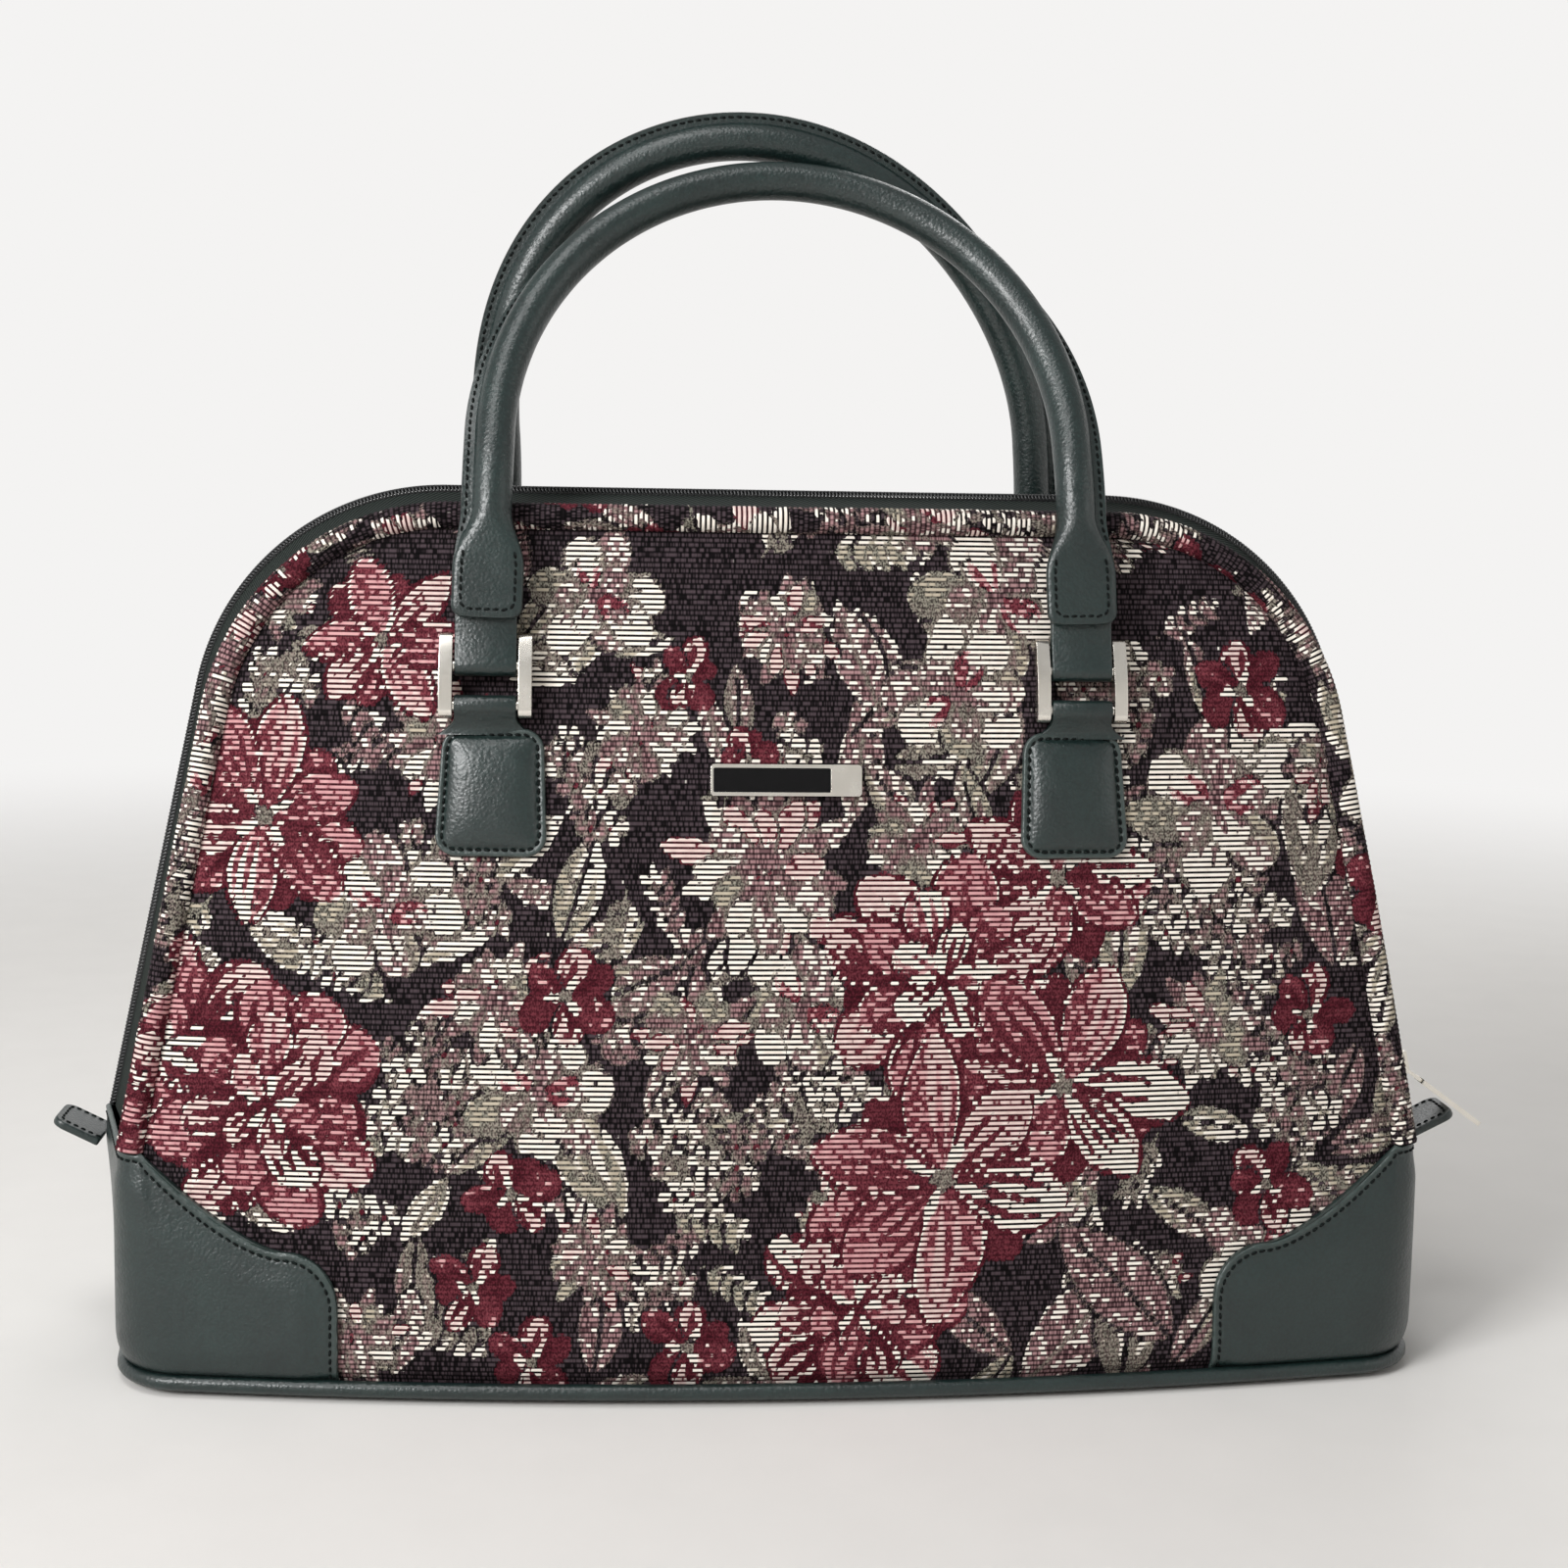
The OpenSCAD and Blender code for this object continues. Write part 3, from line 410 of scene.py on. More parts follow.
# Woven tapestry: a jacquard cloth in ribs. Cream, pink and beige weft floats lie along the ribs
# as dashes, and the gaps between ribs are darkened as painted shade; between them the cloth is
# black with rows of grey ticks, or a fine maroon, grey or dusty mauve. The eye gets petals ragged
# at each rib and a lively fine grain.
def tapestry():
    m, s = finish_of("jacquard_tapestry")
    tone = add(m, "Attribute", attribute_name="weave")
    rosy = add(m, "Attribute", attribute_name="weave", out=3)
    light = add(m, "SeparateColor", {0: tone})
    red = add(m, "SeparateColor", {0: tone}, out=1)
    grey = add(m, "SeparateColor", {0: tone}, out=2)
    # The yarn attribute holds millimetres along a rib, and ribs counted across it.
    yarn = add(m, "Attribute", attribute_name="yarn", out=1)
    x = add(m, "SeparateXYZ", {0: yarn})
    row = add(m, "SeparateXYZ", {0: yarn}, out=1)
    number = add(m, "Math", {0: row}, operation="FLOOR")
    # Three rulings of the cloth: each rib's floats begin and end at their own threads, about
    # 3 mm apart; warp ends show on a rib as ticks 0.9 mm apart; finer threads fill the grounds.
    rulings = []
    for pitch, count, per_rib, layer in [(3.0, number, 17.31, 0.0), (0.9, number, 5.13, 0.0),
                                         (0.6, row, 2.2, 3.7)]:
        run = add(m, "Math", {0: x, 1: 1 / pitch}, operation="MULTIPLY")
        step = add(m, "Math", {0: count, 1: per_rib}, operation="MULTIPLY")
        at = add(m, "CombineXYZ", {0: run, 1: step, 2: layer})
        rulings.append(add(m, "TexNoise", {"Vector": at, "Scale": 1.0, "Detail": 0.0}))
    ragged = rulings[0]
    swing = add(m, "Math", {0: ragged, 1: 1.5, 2: -0.75}, operation="MULTIPLY_ADD")
    lit = add(m, "Math", {0: light, 1: swing}, operation="ADD")
    floats = add(m, "MapRange", {0: lit, 1: 0.48, 2: 0.58}, **SOFT)
    tick = add(m, "MapRange", {0: rulings[1], 1: 0.34, 2: 0.66}, **SOFT)
    thread = add(m, "MapRange", {0: rulings[2], 1: 0.3, 2: 0.7}, **SOFT)
    speckle = add(m, "Math", {0: thread, 1: 0.7, 2: 0.6}, operation="MULTIPLY_ADD")
    greyed = add(m, "Math", {0: grey, 1: speckle}, operation="MULTIPLY")
    grey_on = add(m, "MapRange", {0: greyed, 1: 0.3, 2: 0.6}, **SOFT)
    reddened = add(m, "Math", {0: red, 1: speckle}, operation="MULTIPLY")
    red_on = add(m, "MapRange", {0: reddened, 1: 0.3, 2: 0.5}, **SOFT)
    shades = {}
    for name, by, low, high in [
            ("black", tick, "#0d090b", "#483d42"), ("stone", thread, "#403c37", "#949083"),
            ("mauve", tick, "#4f373b", "#a98486"), ("maroon", thread, "#330d15", "#541c27"),
            ("rose", thread, "#541f29", "#84424b"), ("cream", ragged, "#e8dcd0", "#fffaf1"),
            ("beige", ragged, "#9c8f7e", "#cdc2ae"), ("pink", ragged, "#b06d77", "#e2b3b2")]:
        shades[name] = add(m, "Mix", {0: by, 6: linear(low), 7: linear(high)}, **COLOURS)
    greys = add(m, "Mix", {0: rosy, 6: shades["stone"], 7: shades["mauve"]}, **COLOURS)
    reds = add(m, "Mix", {0: rosy, 6: shades["maroon"], 7: shades["rose"]}, **COLOURS)
    base = add(m, "Mix", {0: grey_on, 6: shades["black"], 7: greys}, **COLOURS)
    base = add(m, "Mix", {0: red_on, 6: base, 7: reds}, **COLOURS)
    # Floats are cream, pink over the rosy reds and beige over the greys.
    pink_by = add(m, "Math", {0: red_on, 1: rosy}, operation="MULTIPLY")
    pink_by = add(m, "MapRange", {0: pink_by, 1: 0.25, 2: 0.85}, **SOFT)
    beige_by = add(m, "Math", {0: grey, 1: rosy}, operation="SUBTRACT")
    beige_by = add(m, "MapRange", {0: beige_by, 1: 0.35, 2: 0.8}, **SOFT)
    weft = add(m, "Mix", {0: beige_by, 6: shades["cream"], 7: shades["beige"]}, **COLOURS)
    weft = add(m, "Mix", {0: pink_by, 6: weft, 7: shades["pink"]}, **COLOURS)
    # A rib's crest is round. Beside it the gaps are painted darker as shade, nearly black, except between
    # fine threads.
    off = add(m, "Math", {0: row}, operation="FRACT")
    off = add(m, "Math", {0: off, 1: -0.5}, operation="ADD")
    off = add(m, "Math", {0: off}, operation="ABSOLUTE")
    crest = add(m, "MapRange", {0: off, 1: 0.36, 2: 0.21}, **SOFT)
    fine = add(m, "Math", {0: grey_on, 1: rosy}, operation="SUBTRACT")
    fine = add(m, "Math", {0: red_on, 1: fine}, operation="MAXIMUM")
    fine = add(m, "Math", {0: fine, 1: 0.5, 2: 0.22}, operation="MULTIPLY_ADD")
    # Painted shade: the gaps between ribs take the base colour darkened, darkest beside floats.
    gap_shade_factor = add(m, "Math", {0: floats, 1: -0.4, 2: 1.0}, operation="MULTIPLY_ADD")
    gap_shade_factor = add(m, "Math", {0: fine, 1: gap_shade_factor}, operation="MULTIPLY")
    painted_gap_shade = add(m, "Mix", {0: 1.0, 6: base, 7: gap_shade_factor}, blend_type="MULTIPLY", **COLOURS)
    crown = add(m, "Mix", {0: floats, 6: base, 7: weft}, **COLOURS)
    join(m, add(m, "Mix", {0: crest, 6: painted_gap_shade, 7: crown}, **COLOURS), s["Base Color"])
    height = add(m, "Math", {0: floats, 1: 0.5, 2: 0.5}, operation="MULTIPLY_ADD")
    height = add(m, "Math", {0: crest, 1: height}, operation="MULTIPLY")
    height = add(m, "Math", {0: thread, 1: 0.25, 2: height}, operation="MULTIPLY_ADD")
    join(m, add(m, "Bump", {"Strength": 0.6, "Distance": 0.4 * MM, "Height": height}), s["Normal"])
    s["Roughness"].default_value = 0.8
    s["Specular IOR Level"].default_value = 0.08
    return m


# Smooth embossed cowhide with a pigmented finish: a fine pebble grain, soft broad gloss, a
# little mottling, paler where cut edges are worn, and a painted highlight over sewn borders.
def leather(name, colour, dark, grain=1.0):
    m, s = finish_of(name)
    at = add(m, "TexCoord", out=3)
    pebble = add(m, "TexVoronoi", {"Vector": at, "Scale": 1 / (grain * 1.2 * MM), "Randomness": 0.9},
                 feature="SMOOTH_F1")
    fine = add(m, "TexNoise", {"Vector": at, "Scale": 1 / (0.5 * MM), "Detail": 2.0})
    mottle = add(m, "TexNoise", {"Vector": at, "Scale": 1 / (28 * MM), "Detail": 3.0, "Roughness": 0.6})
    creases = add(m, "TexNoise", {"Vector": at, "Scale": 1 / (5 * MM), "Detail": 4.0, "Roughness": 0.65})
    tint = add(m, "MapRange", {0: mottle, 1: 0.3, 2: 0.7, 3: 0.0, 4: 1.0})
    base = add(m, "Mix", {0: tint, 6: linear(dark), 7: linear(colour)}, **COLOURS)
    pit = add(m, "MapRange", {0: pebble, 1: 0.2, 2: 0.75, 3: 1.15, 4: 0.7})
    grained = add(m, "Mix", {0: 1.0, 6: base, 7: pit}, blend_type="MULTIPLY", **COLOURS)
    # Worn cut edges, and a painted highlight over the sewn borders, lighten the colour.
    wear_and_highlight_share = add(m, "Attribute", attribute_name="wear_and_highlight", out=2)
    patchy = add(m, "MapRange", {0: creases, 1: 0.35, 2: 0.65, 3: 0.35, 4: 0.75})
    wear_and_highlight_share = add(m, "Math", {0: wear_and_highlight_share, 1: patchy}, operation="MULTIPLY")
    worn_and_highlit_tone = add(m, "Mix", {0: wear_and_highlight_share, 6: grained, 7: linear("#5c6a66")}, **COLOURS)
    join(m, worn_and_highlit_tone, s["Base Color"])
    gloss = add(m, "MapRange", {0: creases, 1: 0.3, 2: 0.7, 3: 0.3, 4: 0.42})
    join(m, gloss, s["Roughness"])
    h = add(m, "Math", {0: pebble, 1: -1.0, 2: creases}, operation="MULTIPLY_ADD")
    h = add(m, "Math", {0: fine, 1: 0.3, 2: h}, operation="MULTIPLY_ADD")
    join(m, add(m, "Bump", {"Strength": 0.55, "Distance": 0.3 * MM, "Height": h}), s["Normal"])
    s["IOR"].default_value = 1.62
    return m


# Twisted polyester sewing thread: dull black-green with a turn every 0.6 mm.
def sewing_thread():
    m, s = finish_of("sewing_thread")
    at = add(m, "TexCoord", out=3)
    ply = add(m, "TexWave", {"Vector": at, "Scale": 1 / (0.6 * MM) / 6, "Distortion": 1.0},
              bands_direction="DIAGONAL")
    base = add(m, "Mix", {0: ply, 6: linear("#070909"), 7: linear("#171d1c")}, **COLOURS)
    join(m, base, s["Base Color"])
    join(m, add(m, "Bump", {"Strength": 0.3, "Distance": 0.1 * MM, "Height": ply}), s["Normal"])
    s["Roughness"].default_value = 0.7
    s["Specular IOR Level"].default_value = 0.12
    return m


# Woven polyester zip tape: a dull dark green-black twill, its slanting lines 1.6 mm apart,
# drawn a little coarser than woven.
def twill():
    m, s = finish_of("twill_zip_tape")
    yarn = add(m, "Attribute", attribute_name="yarn", out=1)
    lines = add(m, "TexWave", {"Vector": yarn, "Scale": 2 * math.pi / (10 * TWILL_PITCH * 1.414),
                               "Distortion": 0.4, "Detail": 1.0}, bands_direction="DIAGONAL")
    base = add(m, "Mix", {0: lines, 6: linear("#0e1110"), 7: linear("#373d3a")}, **COLOURS)
    join(m, base, s["Base Color"])
    join(m, add(m, "Bump", {"Strength": 0.5, "Distance": 0.25 * MM, "Height": lines}), s["Normal"])
    s["Roughness"].default_value = 0.85
    s["Specular IOR Level"].default_value = 0.1
    return m


# Moulded nylon coil: near black with a soft satin shine.
def nylon():
    m, s = finish_of("nylon_coil")
    at = add(m, "TexCoord", out=3)
    dust = add(m, "TexNoise", {"Vector": at, "Scale": 1 / (6 * MM), "Detail": 3.0})
    base = add(m, "Mix", {0: dust, 6: linear("#070809"), 7: linear("#151719")}, **COLOURS)
    join(m, base, s["Base Color"])
    join(m, add(m, "MapRange", {0: dust, 3: 0.3, 4: 0.5}), s["Roughness"])
    return m


# Bright nickel plate on a cast zinc fitting: warm white metal, faint polishing marks and haze.
def nickel():
    m, s = finish_of("nickel_plate")
    at = add(m, "TexCoord", out=3)
    stretched = add(m, "Mapping", {0: at, 3: (1 / (0.4 * MM), 1 / (0.4 * MM), 1 / (6 * MM))})
    marks = add(m, "TexNoise", {"Vector": stretched, "Scale": 1.0, "Detail": 2.0})
    haze = add(m, "TexNoise", {"Vector": at, "Scale": 1 / (9 * MM), "Detail": 3.0})
    base = add(m, "Mix", {0: haze, 6: linear("#e2ddd3"), 7: linear("#f6f2ea")}, **COLOURS)
    join(m, base, s["Base Color"])
    join(m, add(m, "MapRange", {0: haze, 3: 0.16, 4: 0.34}), s["Roughness"])
    join(m, add(m, "Bump", {"Strength": 0.08, "Distance": 0.05 * MM, "Height": marks}), s["Normal"])
    s["Metallic"].default_value = 1.0
    return m


# Enamel filled into a metal tray: smooth, deep and glossy, with faint waves.
def enamel(name, colour, light, rough):
    m, s = finish_of(name)
    at = add(m, "TexCoord", out=3)
    wave = add(m, "TexNoise", {"Vector": at, "Scale": 1 / (4 * MM), "Detail": 2.0})
    base = add(m, "Mix", {0: wave, 6: linear(colour), 7: linear(light)}, **COLOURS)
    join(m, base, s["Base Color"])
    join(m, add(m, "MapRange", {0: wave, 3: rough, 4: rough + 0.15}), s["Roughness"])
    s["Specular IOR Level"].default_value = 0.25
    return m


# Grey fibreboard: matt, with short fibres about 3 mm long.
def fibreboard():
    m, s = finish_of("grey_fibreboard")
    at = add(m, "TexCoord", out=3)
    fibre = add(m, "TexNoise", {"Vector": at, "Scale": 1 / (3 * MM), "Detail": 5.0})
    base = add(m, "Mix", {0: fibre, 6: linear("#6d6458"), 7: linear("#9a9082")}, **COLOURS)
    join(m, base, s["Base Color"])
    s["Roughness"].default_value = 0.9
    return m


TAPESTRY = tapestry()
LEATHER = leather("green_cowhide", "#152826", "#0d1d1c")
EDGE_PAINT = leather("black_edge_paint", "#161a1a", "#0e1111", 1.6)
THREAD = sewing_thread()
TWILL = twill()
NYLON = nylon()
NICKEL = nickel()
BLACK_ENAMEL = enamel("black_enamel", "#030304", "#08080a", 0.1)
GREY_INLAY = enamel("grey_inlay", "#45484b", "#5a5d60", 0.4)
BOARD = fibreboard()


# The woven picture: flowers, leaves and sprigs laid on a canvas in the panel's X and Z.
# Each tone is cream floats, red, grey and rosiness.
CANVAS_STEP = 0.75
CANVAS_X = np.arange(-268, 268, CANVAS_STEP)
CANVAS_Z = np.arange(-6, 346, CANVAS_STEP)
canvas = np.zeros((len(CANVAS_Z), len(CANVAS_X), 4))
rng = np.random.default_rng(11)
CREAM = np.array([1.0, 0.0, 0.25, 0.4])
BLUSH = np.array([0.86, 1.0, 0.0, 0.55])
PINK = np.array([0.72, 1.0, 0.0, 1.0])
ROSE = np.array([0.44, 1.0, 0.0, 0.85])
RED = np.array([0.1, 1.0, 0.0, 0.4])
MAROON = np.array([0.0, 1.0, 0.0, 0.0])
STONE = np.array([0.6, 0.0, 1.0, 0.0])
GREY = np.array([0.12, 0.0, 0.9, 0.15])
MAUVE = np.array([0.28, 0.0, 0.9, 1.0])
DUSK = np.array([0.58, 0.0, 0.85, 0.9])
BARE = np.zeros(4)


def smooth(t):
    t = np.clip(t, 0, 1)
    return t * t * (3 - 2 * t)


def patch(x, z, reach):
    """The canvas near a point, with the distances from that point."""
    i0, i1 = np.searchsorted(CANVAS_Z, [z - reach, z + reach])
    j0, j1 = np.searchsorted(CANVAS_X, [x - reach, x + reach])
    return canvas[i0:i1, j0:j1], CANVAS_X[None, j0:j1] - x, CANVAS_Z[i0:i1, None] - z


def petal(x, z, turn, long, wide, foot, tip, mid=0.45, flames=0.3, streaks=3.0, fat=1.2, blunt=0.65,
          bend=0.0, rim=None, line=None, shade=0.0, rib=None, veins=0.0):
    """One petal or leaf from its foot. Its foot's tone runs into its tip's in long flames; it
    may have a pale rim, a dark line round it, a shaded half, a midrib and side veins."""
    area, dx, dz = patch(x, z, long * 1.25)
    if area.size == 0:
        return
    u = (dx * math.cos(turn) + dz * math.sin(turn)) / long
    v = (dz * math.cos(turn) - dx * math.sin(turn)) / (wide / 2) - bend * u * u * 2
    width = np.where((u > 0) & (u < 1), np.sin(math.pi * np.clip(u, 0, 1) ** fat), 0) ** blunt
    inside = (width - np.abs(v)) * wide / 2
    rel = v / np.maximum(width, 0.15)
    if line is not None:
        drawn = np.where((u > 0.12) & (u < 1), np.clip((inside + 1.4) / 0.7, 0, 1), 0)
        area += (line - area) * drawn[..., None]
    blend = smooth((u - mid + flames * np.cos(rel * math.pi * streaks + turn * 7)) / 0.26 + 0.5)
    blend = blend * (1 - shade * smooth((rel - 0.05) / 0.5))
    paint = foot + (tip - foot) * blend[..., None]
    if veins:
        comb = np.cos(u * 34 - np.abs(rel) * 7)
        paint = paint + (veins * comb)[..., None] * np.array([1.0, 0, 0, 0])
    if rim is not None:
        paint = np.where((inside < 1.2)[..., None], rim, paint)
    if rib is not None:
        paint = np.where((np.abs(v) * wide < 1.7)[..., None] & (u < 0.85)[..., None], rib, paint)
    area += (paint - area) * np.clip(inside / 0.7, 0, 1)[..., None]


def disc(x, z, r, tone, lumps=0.0):
    """A round spot, or a lumpy one."""
    area, dx, dz = patch(x, z, r * 1.4)
    if area.size == 0:
        return
    edge = r * (1 + lumps * np.sin(np.arctan2(dz, dx) * 5 + x)) - np.hypot(dx, dz)
    area += (tone - area) * np.clip(edge / 0.7, 0, 1)[..., None]


def lily(x, z, r, turn):
    """A wide open flower of long petals, red at the heart, cream and pink towards the tips."""
    for k in range(6):
        petal(x, z, turn + k * math.pi / 3 + 0.5, r * rng.uniform(0.8, 1.0), r * 0.46, MAROON,
              [ROSE, RED, PINK][k % 3], 0.5, 0.3, 2.0, line=MAROON, rim=BLUSH if k % 2 else None)
    for k in (0, 3, 1, 4, 2, 5):
        a = turn + k * math.pi / 3 + rng.normal(0, 0.12)
        tip = [CREAM, BLUSH, BLUSH, PINK, PINK][rng.integers(5)]
        petal(x, z, a, r * rng.uniform(0.92, 1.18), r * rng.uniform(0.46, 0.6), [RED, ROSE, RED][k % 3], tip,
              rng.uniform(0.3, 0.55), 0.34, rng.uniform(3, 5), rng.uniform(1.05, 1.45), 0.7,
              rng.normal(0, 0.25), [None, CREAM, BLUSH][k % 3], MAROON, [0.0, 0.8, 0.35][k % 3])
    for k in range(4):
        petal(x, z, turn + 0.3 + k * 1.6, r * 0.34, r * 0.1, CREAM, CREAM, fat=1.6)
    disc(x, z, r * 0.1, GREY, 0.2)


def peony(x, z, r, turn):
    """A full flower of many round petals, one over another."""
    disc(x, z, r * 0.8, MAROON, 0.12)
    for ring, (share, count) in enumerate([(1.0, 8), (0.78, 7), (0.55, 5)]):
        for k in range(count):
            a = turn + ring * 0.4 + k * 2 * math.pi / count + rng.normal(0, 0.1)
            tip = [PINK, BLUSH, PINK, BLUSH, CREAM][rng.integers(5)]
            start = r * 0.1 * (2 - ring)
            petal(x + start * math.cos(a), z + start * math.sin(a), a, r * share * 0.9,
                  r * share * rng.uniform(0.5, 0.66), [RED, ROSE, MAROON][k % 3], tip,
                  rng.uniform(0.4, 0.65), 0.3, rng.uniform(2.5, 4), rng.uniform(1.4, 2.0), 0.55,
                  rng.normal(0, 0.15), CREAM if k % 2 else None, MAROON, 0.6 * (k % 2))
    disc(x, z, r * 0.1, MAROON)
    for k in range(5):
        petal(x, z, turn + k * 1.26, r * 0.28, r * 0.1, CREAM, CREAM, fat=1.7)


def aster(x, z, r, turn, petals=12):
    """A daisy of narrow cream petals, ragged, with a mottled heart."""
    for layer in range(2):
        for k in range(petals):
            a = turn + (k + 0.5 * layer) * 2 * math.pi / petals + rng.normal(0, 0.07)
            tone = [CREAM, DUSK, MAUVE, BLUSH, STONE][rng.integers(5)]
            petal(x, z, a, r * rng.uniform(0.8, 1.15) * (1 - 0.22 * layer), r * 0.3,
                  MAUVE if layer else GREY, tone, 0.4, 0.1, 1.0, 1.5, 0.6, 0.0, None,
                  BARE if not layer else GREY)
    disc(x, z, r * 0.24, MAUVE, 0.15)
    for k in range(5):
        disc(x + rng.normal(0, r * 0.11), z + rng.normal(0, r * 0.11), 1.3,
             [RED, CREAM, GREY, MAROON, STONE][k])


def bloom(x, z, r, turn, heart=ROSE):
    """A pale flower of broad ruffled petals shaded stone and rose."""
    for k in range(7):
        a = turn + k * 2 * math.pi / 7 + rng.normal(0, 0.12)
        petal(x, z, a, r * rng.uniform(0.85, 1.12), r * 0.62, [GREY, MAUVE, STONE][k % 3],
              [CREAM, DUSK, CREAM, STONE][k % 4], 0.45, 0.22, 3.5, 1.7, 0.5, rng.normal(0, 0.2),
              None, BARE if k % 2 else GREY, 0.8 * (k % 2))
    for k in range(5):
        a = turn + 0.4 + k * 2 * math.pi / 5
        petal(x, z, a, r * 0.62, r * 0.46, [MAUVE, heart, GREY][k % 3], CREAM if k % 2 else DUSK, 0.5, 0.25,
              2.0, 1.6, 0.5, 0.1, CREAM if k % 2 else None, GREY, 0.6)
    disc(x, z, r * 0.13, MAUVE, 0.2)


def posy(x, z, r, turn):
    """A small red flower with a pale heart and a few pale edges."""
    for k in range(6):
        a = turn + k * math.pi / 3 + rng.normal(0, 0.15)
        petal(x, z, a, r * rng.uniform(0.8, 1.1), r * 0.62, [MAROON, RED][k % 2], [RED, BLUSH, ROSE][k % 3],
              0.5, 0.3, 2.0, 1.5, 0.55, rng.normal(0, 0.2), BLUSH if k % 3 == 1 else None,
              MAROON if k % 2 else BARE, 0.4)
    for k in range(3):
        petal(x, z, turn + 0.6 + 2.1 * k, r * 0.42, r * 0.2, CREAM, CREAM)
    disc(x, z, r * 0.15, GREY)


def florets(x, z, r, base=MAUVE):
    """A cluster of small pale flowers over a mottled ground."""
    disc(x, z, r * 0.6, base * 0.8, 0.25)
    for k in range(int(r * r / 26) + 3):
        a, d = rng.uniform(0, 6.28), r * math.sqrt(rng.uniform(0, 1))
        fx, fz, fr = x + d * math.cos(a), z + d * math.sin(a), rng.uniform(5, 8)
        n, tone = rng.integers(4, 6), [CREAM, DUSK, MAUVE, CREAM][rng.integers(4)]
        for j in range(n):
            petal(fx, fz, a + j * 6.283 / n, fr, fr * 0.75, STONE, tone, 0.25, 0.1, 1.0, 1.6, 0.5,
                  line=GREY if j % 2 else BARE)
        disc(fx, fz, 1.4, [MAROON, GREY, RED][k % 3])


def leaf(x, z, turn, long, wide, kind=0):
    """A leaf: pale on one half, stone or mauve on the other, with a dark midrib and veins."""
    dull = [MAUVE, GREY, MAUVE, STONE][kind % 4]
    tip = [DUSK, CREAM, MAUVE, CREAM, STONE, DUSK][kind % 6]
    petal(x, z, turn, long, wide, dull, tip, 0.45, 0.22, 3.0, 0.95, 0.75, rng.normal(0, 0.25),
          CREAM if kind % 3 == 0 else None, BARE, 0.8 if kind % 2 else 0.5, BARE if kind % 3 else GREY, 0.3)


def sprig(x, z, turn, long, tone):
    """A twig with small paired leaves."""
    petal(x, z, turn, long, 1.8, tone, tone, fat=0.5)
    for k in range(4):
        u = long * (0.22 + 0.2 * k)
        for side in (-1, 1):
            petal(x + u * math.cos(turn), z + u * math.sin(turn), turn + side * 0.75, long * 0.32,
                  long * 0.15, tone, CREAM if side > 0 else tone, 0.5, 0.2, 1.0, 1.0)
    petal(x + long * 0.85 * math.cos(turn), z + long * 0.85 * math.sin(turn), turn, long * 0.3,
          long * 0.14, tone, CREAM)


